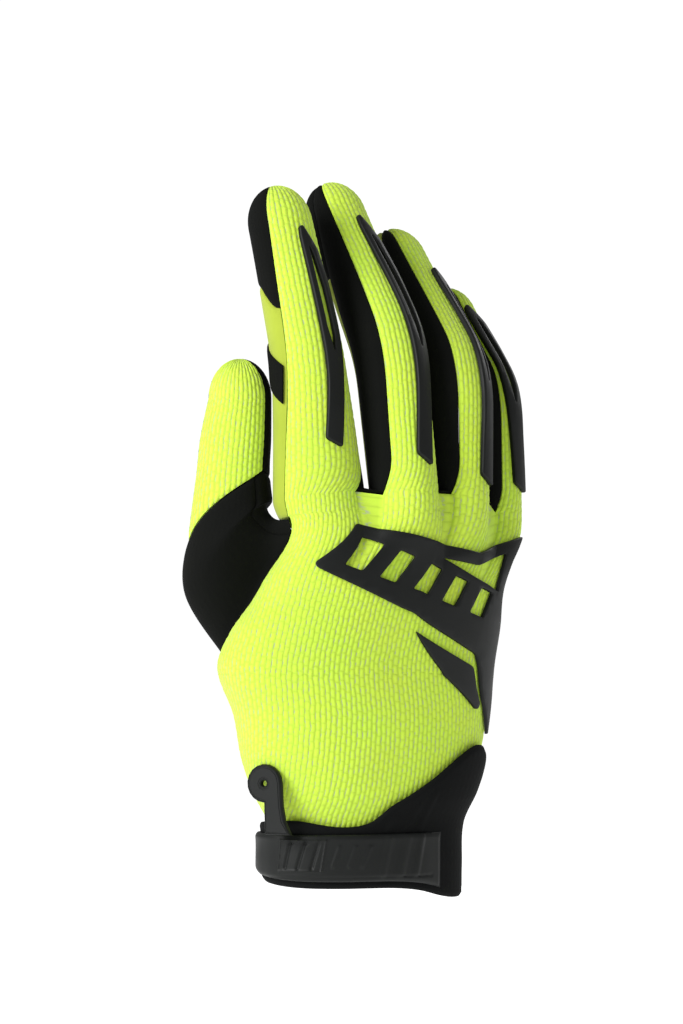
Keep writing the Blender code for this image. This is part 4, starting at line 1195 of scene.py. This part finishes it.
def add_tab(material):
    """The round pull tab above the strap, with a raised rim line and a small hole."""
    tab_height = CUFF_HEIGHT + TAB_RISE * TAB_RADIUS
    hole = [(TAB_HOLE * math.cos(math.radians(45.0 * n)), TAB_HOLE * math.sin(math.radians(45.0 * n)))
            for n in range(8)]
    sheet = rubber_sheet(tab_outline(tab_height), [hole], TAB_WALL, 0.0, 0.0030, 0.0030,
                         grooves=((0.0002, -0.00018), (0.0003, 0.0), (0.0002, 0.00018)))
    facing = math.radians(TAB_FACING)
    outwards = Vector((math.sin(facing), -math.cos(facing), 0.0))
    sideways = Vector((math.cos(facing), math.sin(facing), 0.0))
    reach = max(oval_point(height, angle, 0.0).dot(outwards)
                for height in (STRAP_TOP, CUFF_HEIGHT, tab_height, tab_height + TAB_RADIUS)
                for angle in range(-130, 10, 5))
    cuff_reach = max(oval_point(cuff_edges(angle)[1], angle, -CUFF_EASE - CUFF_WALL).dot(outwards)
                     for angle in range(-130, -10, 5))
    base = max(reach, cuff_reach) + SEAM_GAP
    middle = oval_point(tab_height, TAB_TURN, 0.0).dot(sideways)

    def place(x, y, rise):
        return outwards * (base + rise) + sideways * (middle + x) + Vector((0.0, 0.0, tab_height + y))

    bend_rubber("pull_tab_moulding", sheet, place, material, ["pull_tab"])


def linear(code):
    """A hex colour as linear red, green, blue and alpha."""
    parts = []
    for start in (1, 3, 5):
        value = int(code[start:start + 2], 16) / 255.0
        parts.append(value / 12.92 if value <= 0.04045 else ((value + 0.055) / 1.055) ** 2.4)
    return (*parts, 1.0)


def mixed(low, high):
    """Settings of a node that mixes two hex colours."""
    return {"data_type": "RGBA", 6: linear(low), 7: linear(high)}


def add_node(material, kind, settings, links=()):
    """Add a node with its settings and the links into it. A number names an input socket, and a
    word a property of the node."""
    node = material.node_tree.nodes.new(kind)
    for key, value in settings.items():
        if isinstance(key, int):
            node.inputs[key].default_value = value
        else:
            setattr(node, key, value)
    for socket, source in dict(links).items():
        material.node_tree.links.new(source, node.inputs[socket])
    return node


def new_material(name, colour, roughness, sheen=0.0, specular=0.5):
    """A Principled material and its shader node."""
    material = bpy.data.materials.new(name)
    material.use_nodes = True
    shader = material.node_tree.nodes["Principled BSDF"]
    shader.inputs["Base Color"].default_value = linear(colour)
    shader.inputs["Roughness"].default_value = roughness
    shader.inputs["Sheen Weight"].default_value = sheen
    shader.inputs["Specular IOR Level"].default_value = specular
    return material, shader


def raised_knit():
    """Warp-knitted polyester with raised loops in staggered columns. The eye sees bright domes
    with thin grey-green threads of the ground yarn between them. The hollows between the loops
    are painted darker as shade, and a faint painted glow brightens the knit."""
    material, shader = new_material("raised_polyester_knit", "#B6D148", 0.88, sheen=0.12,
                                    specular=0.25)
    tree = material.node_tree
    cloth = add_node(material, "ShaderNodeUVMap", {"uv_map": "surface"})
    place = add_node(material, "ShaderNodeSeparateXYZ", {}, {0: cloth.outputs[0]})
    wander = add_node(material, "ShaderNodeTexNoise", {2: 240.0, 3: 1.0}, {0: cloth.outputs[0]})
    found = {"across": place.outputs[0], "along": place.outputs[1], "wander": wander.outputs[0]}
    steps = (
        # name, operation, then numbers and names of earlier steps
        ("drawn", "MULTIPLY_ADD", "wander", KNIT_WANDER, "across"),
        ("wale", "DIVIDE", "drawn", KNIT_WALE),
        ("number", "FLOOR", "wale"),
        ("aside", "FRACT", "wale"),
        ("offset", "FLOORED_MODULO", "number", 2.0),
        ("course", "DIVIDE", "along", KNIT_COURSE),
        ("turned", "MULTIPLY", "number", KNIT_TURN),
        ("wave", "SINE", "turned"),
        ("slipped", "MULTIPLY_ADD", "wave", KNIT_SLIP, "course"),
        ("shifted", "MULTIPLY_ADD", "offset", 0.5, "slipped"),
        ("upward", "FRACT", "shifted"),
        ("x", "MULTIPLY_ADD", "aside", 2.0, -1.0),
        ("y", "MULTIPLY_ADD", "upward", 2.0, -1.0),
        ("x_squared", "MULTIPLY", "x", "x"),
        ("y_squared", "MULTIPLY", "y", "y"),
        ("y_fourth", "MULTIPLY", "y_squared", "y_squared"),
        ("fall_x", "SUBTRACT", 1.0, "x_squared"),
        ("fall_y", "MULTIPLY_ADD", "y_fourth", -KNIT_JOINT, 1.0),
        ("loop", "MULTIPLY", "fall_x", "fall_y"),
    )
    for name, operation, *inputs in steps:
        settings, links = {"operation": operation}, {}
        for socket, value in enumerate(inputs):
            if isinstance(value, str):
                links[socket] = found[value]
            else:
                settings[socket] = value
        found[name] = add_node(material, "ShaderNodeMath", settings, links).outputs[0]

    slip = add_node(material, "ShaderNodeTexNoise", {2: 420.0, 3: 2.0}, {0: cloth.outputs[0]})
    soft = {"interpolation_type": "SMOOTHSTEP"}
    between = add_node(material, "ShaderNodeMapRange", {**soft, 1: 0.44, 2: 0.80},
                       {0: found["x_squared"]})
    dash = add_node(material, "ShaderNodeMapRange", {**soft, 1: 0.75, 2: 0.25},
                    {0: found["y_squared"]})
    spread = add_node(material, "ShaderNodeMapRange", {1: 0.46, 2: 0.58}, {0: slip.outputs[0]})
    fleck = add_node(material, "ShaderNodeMath", {"operation": "MULTIPLY"},
                     {0: between.outputs[0], 1: dash.outputs[0]})
    flecks = add_node(material, "ShaderNodeMath", {"operation": "MULTIPLY", "use_clamp": True},
                      {0: fleck.outputs[0], 1: spread.outputs[0]})
    tone = add_node(material, "ShaderNodeTexNoise", {2: 55.0, 3: 3.0}, {0: cloth.outputs[0]})
    # Painted shade: the colour runs from a darker tone in the hollows between the loops to a lighter
    # tone on their tops.
    ground = add_node(material, "ShaderNodeMix", mixed("#A6C23C", "#BCDB42"),
                      {0: found["loop"]})
    mottled = add_node(material, "ShaderNodeMix",
                       {"data_type": "RGBA", "blend_type": "MULTIPLY", 0: 0.16},
                       {6: ground.outputs[2], 7: tone.outputs[1]})
    threads = add_node(material, "ShaderNodeMix", {"data_type": "RGBA", 7: linear("#94A07A")},
                       {0: flecks.outputs[0], 6: mottled.outputs[2]})
    tree.links.new(threads.outputs[2], shader.inputs["Base Color"])
    # Painted glow: a faint yellow-green emission makes the knit look more brightly lit than the lamps
    # make it.
    shader.inputs["Emission Color"].default_value = linear("#C8F020")
    shader.inputs["Emission Strength"].default_value = 0.05

    fibre = add_node(material, "ShaderNodeTexNoise", {2: 2600.0, 3: 2.0}, {0: cloth.outputs[0]})
    height = add_node(material, "ShaderNodeMath", {"operation": "MULTIPLY_ADD", 1: 0.35},
                      {0: fibre.outputs[0], 2: found["loop"]})
    bump = add_node(material, "ShaderNodeBump", {0: 0.55, 1: 0.0003}, {"Height": height.outputs[0]})
    tree.links.new(bump.outputs[0], shader.inputs["Normal"])
    return material


def suede():
    """Synthetic suede, a brushed microfibre. The eye sees an even matt colour with a faint nap."""
    material, shader = new_material("brushed_microfibre_suede", "#8E9C30", 0.92, sheen=0.15,
                                    specular=0.2)
    cloth = add_node(material, "ShaderNodeUVMap", {"uv_map": "surface"})
    nap = add_node(material, "ShaderNodeTexNoise", {2: 900.0, 3: 4.0}, {0: cloth.outputs[0]})
    tone = add_node(material, "ShaderNodeTexNoise", {2: 60.0, 3: 3.0}, {0: cloth.outputs[0]})
    colour = add_node(material, "ShaderNodeMix", mixed("#86952A", "#98A634"),
                      {0: tone.outputs[0]})
    material.node_tree.links.new(colour.outputs[2], shader.inputs["Base Color"])
    bump = add_node(material, "ShaderNodeBump", {0: 0.25, 1: 0.0002}, {"Height": nap.outputs[0]})
    material.node_tree.links.new(bump.outputs[0], shader.inputs["Normal"])
    return material


def stretch_fabric(name, low, high, roughness, wale):
    """Black elastane jersey, alone or as the face of neoprene. The eye sees a deep matt black, with
    fine ribs where light grazes it. They are drawn about twice as coarse as real ones to show."""
    material, shader = new_material(name, high, roughness, specular=0.10)
    cloth = add_node(material, "ShaderNodeUVMap", {"uv_map": "surface"})
    centred = add_node(material, "ShaderNodeMapping", {3: (1.0 / wale, 0.6 / wale, 1.0)},
                       {0: cloth.outputs[0]})
    bands = {"wave_type": "BANDS", 1: 0.159, 2: 1.5, 3: 2.0}
    ribs = add_node(material, "ShaderNodeTexWave", {"bands_direction": "X", **bands},
                    {0: centred.outputs[0]})
    rows = add_node(material, "ShaderNodeTexWave", {"bands_direction": "Y", **bands},
                    {0: centred.outputs[0]})
    both = add_node(material, "ShaderNodeMath", {"operation": "MULTIPLY"},
                    {0: ribs.outputs["Fac"], 1: rows.outputs["Fac"]})
    tone = add_node(material, "ShaderNodeTexNoise", {2: 80.0, 3: 3.0}, {0: cloth.outputs[0]})
    colour = add_node(material, "ShaderNodeMix", mixed(low, high),
                      {0: tone.outputs[0]})
    material.node_tree.links.new(colour.outputs[2], shader.inputs["Base Color"])
    bump = add_node(material, "ShaderNodeBump", {0: 0.30, 1: 0.00015}, {"Height": both.outputs[0]})
    material.node_tree.links.new(bump.outputs[0], shader.inputs["Normal"])
    return material


def moulded_rubber():
    """Injection-moulded thermoplastic rubber. The eye sees a satin near-black that greys where
    edges catch the light, with a faint mould grain."""
    material, shader = new_material("moulded_thermoplastic_rubber", "#0F1110", 0.50, specular=0.20)
    place = add_node(material, "ShaderNodeTexCoord", {})
    grain = add_node(material, "ShaderNodeTexNoise", {2: 2200.0, 3: 2.0}, {0: place.outputs["Object"]})
    tone = add_node(material, "ShaderNodeTexNoise", {2: 90.0, 3: 4.0}, {0: place.outputs["Object"]})
    worn = add_node(material, "ShaderNodeMapRange", {1: 0.3, 2: 0.7, 3: 0.46, 4: 0.58},
                    {0: tone.outputs[0]})
    colour = add_node(material, "ShaderNodeMix", mixed("#0B0D0C", "#131514"),
                      {0: tone.outputs[0]})
    material.node_tree.links.new(colour.outputs[2], shader.inputs["Base Color"])
    material.node_tree.links.new(worn.outputs[0], shader.inputs["Roughness"])
    bump = add_node(material, "ShaderNodeBump", {0: 0.10, 1: 0.0001}, {"Height": grain.outputs[0]})
    material.node_tree.links.new(bump.outputs[0], shader.inputs["Normal"])
    return material


def studio_paint(name, colour):
    """Plain matt studio paper."""
    material, shader = new_material(name, colour, 0.95, specular=0.1)
    shader.inputs["Emission Color"].default_value = (1.0, 1.0, 1.0, 1.0)
    shader.inputs["Emission Strength"].default_value = FLOOR_GLOW
    place = add_node(material, "ShaderNodeTexCoord", {})
    grain = add_node(material, "ShaderNodeTexNoise", {2: 30.0}, {0: place.outputs["Object"]})
    bump = add_node(material, "ShaderNodeBump", {0: 0.02, 1: 0.0005}, {"Height": grain.outputs[0]})
    material.node_tree.links.new(bump.outputs[0], shader.inputs["Normal"])
    return material


def add_light(name, position, size, power, target=(0.0, 0.0, 0.12)):
    """A soft square light that faces the glove."""
    data = bpy.data.lights.new(name, "AREA")
    data.size = size
    data.energy = power
    light = bpy.data.objects.new(name, data)
    bpy.context.scene.collection.objects.link(light)
    towards = Vector(target) - Vector(position)
    turned = towards.to_track_quat("-Z", "Y").to_matrix().to_4x4()
    light.matrix_world = Matrix.Translation(position) @ turned


def set_stage():
    """Camera at the photograph's angle, soft light from the upper left and a white ground."""
    turn = math.radians(VIEW_AZIMUTH)
    right = Vector((math.cos(turn), math.sin(turn), 0.0))
    away = Vector((math.sin(turn), -math.cos(turn), 0.0))
    target = right * VIEW_RIGHT + Vector((0.0, 0.0, VIEW_HEIGHT))
    data = bpy.data.cameras.new("photo_camera")
    data.lens = LENS
    data.sensor_width = SENSOR
    data.clip_start = 0.1
    camera = bpy.data.objects.new("photo_camera", data)
    bpy.context.scene.collection.objects.link(camera)
    position = target + away * (VIEW_TALL * LENS / SENSOR)
    turned = (-away).to_track_quat("-Z", "Y").to_matrix().to_4x4()
    camera.matrix_world = Matrix.Translation(position) @ turned
    bpy.context.scene.camera = camera

    floor = bmesh.new()
    bmesh.ops.create_circle(floor, cap_ends=True, segments=64, radius=40.0)
    bmesh.ops.translate(floor, verts=floor.verts[:], vec=(0.0, 0.0, FLOOR_HEIGHT))
    mesh = bpy.data.meshes.new("floor")
    floor.to_mesh(mesh)
    floor.free()
    mesh.materials.append(studio_paint("studio_paper", "#F7F8F8"))
    ground = bpy.data.objects.new("floor", mesh)
    bpy.context.scene.collection.objects.link(ground)

    world = bpy.data.worlds.new("studio")
    world.use_nodes = True
    paper = world.node_tree.nodes["Background"]
    paper.inputs[0].default_value = (1.0, 1.0, 1.0, 1.0)
    seen = add_node(world, "ShaderNodeLightPath", {})
    level = add_node(world, "ShaderNodeMapRange", {3: WORLD_LIGHT, 4: SEEN_WHITE},
                     {0: seen.outputs["Is Camera Ray"]})
    world.node_tree.links.new(level.outputs[0], paper.inputs[1])
    bpy.context.scene.world = world
    bpy.context.scene.view_settings.view_transform = "Standard"
    up = Vector((0.0, 0.0, 1.0))
    add_light("key", right * -1.1 + away * 0.9 + up * 0.75, 0.7, 30.0)
    add_light("rim", right * 0.7 - away * 0.9 + up * 0.7, 0.5, 3.0)



def dress_glove():
    """Make every visible piece over its solid."""
    knit = raised_knit()
    palm = suede()
    black = stretch_fabric("black_elastane_jersey", "#060706", "#0D0E0C", 0.95, STRETCH_WALE)
    neoprene = stretch_fabric("jersey_faced_neoprene", "#070808", "#0E0F0F", 0.88, NEOPRENE_WALE)
    rubber = moulded_rubber()

    to_tip = {name: full_length for name in FINGER_ORDER}
    add_panel("back", to_tip, knit_depth, knit)
    palm_tops = dict(to_tip, index=index_tip_edge, middle=middle_tip_edge)
    add_panel("palm", palm_tops, flat_depth, palm)
    for name, edge in (("index", index_tip_edge), ("middle", middle_tip_edge)):
        add_finger_tip(name, edge, black)
    add_band(black)
    for first, second in zip(FINGER_ORDER, FINGER_ORDER[1:]):
        add_side_wall(first, second, black)

    add_thumb_cloth("thumb_back", THUMB_BACK_FROM, THUMB_BACK_TO, True, knit_depth, 5, knit)
    for name, start, end, upper in (
            ("thumb_palm", THUMB_BACK_TO, THUMB_BACK_FROM + THUMB_STEPS, True),
            ("thumb_crotch", CROTCH_FROM, CROTCH_TO, False),
            ("thumb_gusset", CROTCH_TO, CROTCH_FROM + THUMB_STEPS, False)):
        add_thumb_cloth(name, start, end, upper, flat_depth, 2, black)

    for name in FINGER_ORDER:
        add_finger_guard(name, rubber)
    plate = [plate_point(x, y) for x, y in PLATE_OUTLINE]
    notch = [plate_point(x, y) for x, y in PLATE_NOTCH]
    shard = [plate_point(x, y) for x, y in SHARD_OUTLINE]
    add_back_plate("hand_plate", plate, [notch] + plate_vents(), rubber)
    add_back_plate("hand_shard", shard, [], rubber)
    add_cuff(neoprene)
    add_strap(rubber)
    add_tab(rubber)


set_stage()
dress_glove()
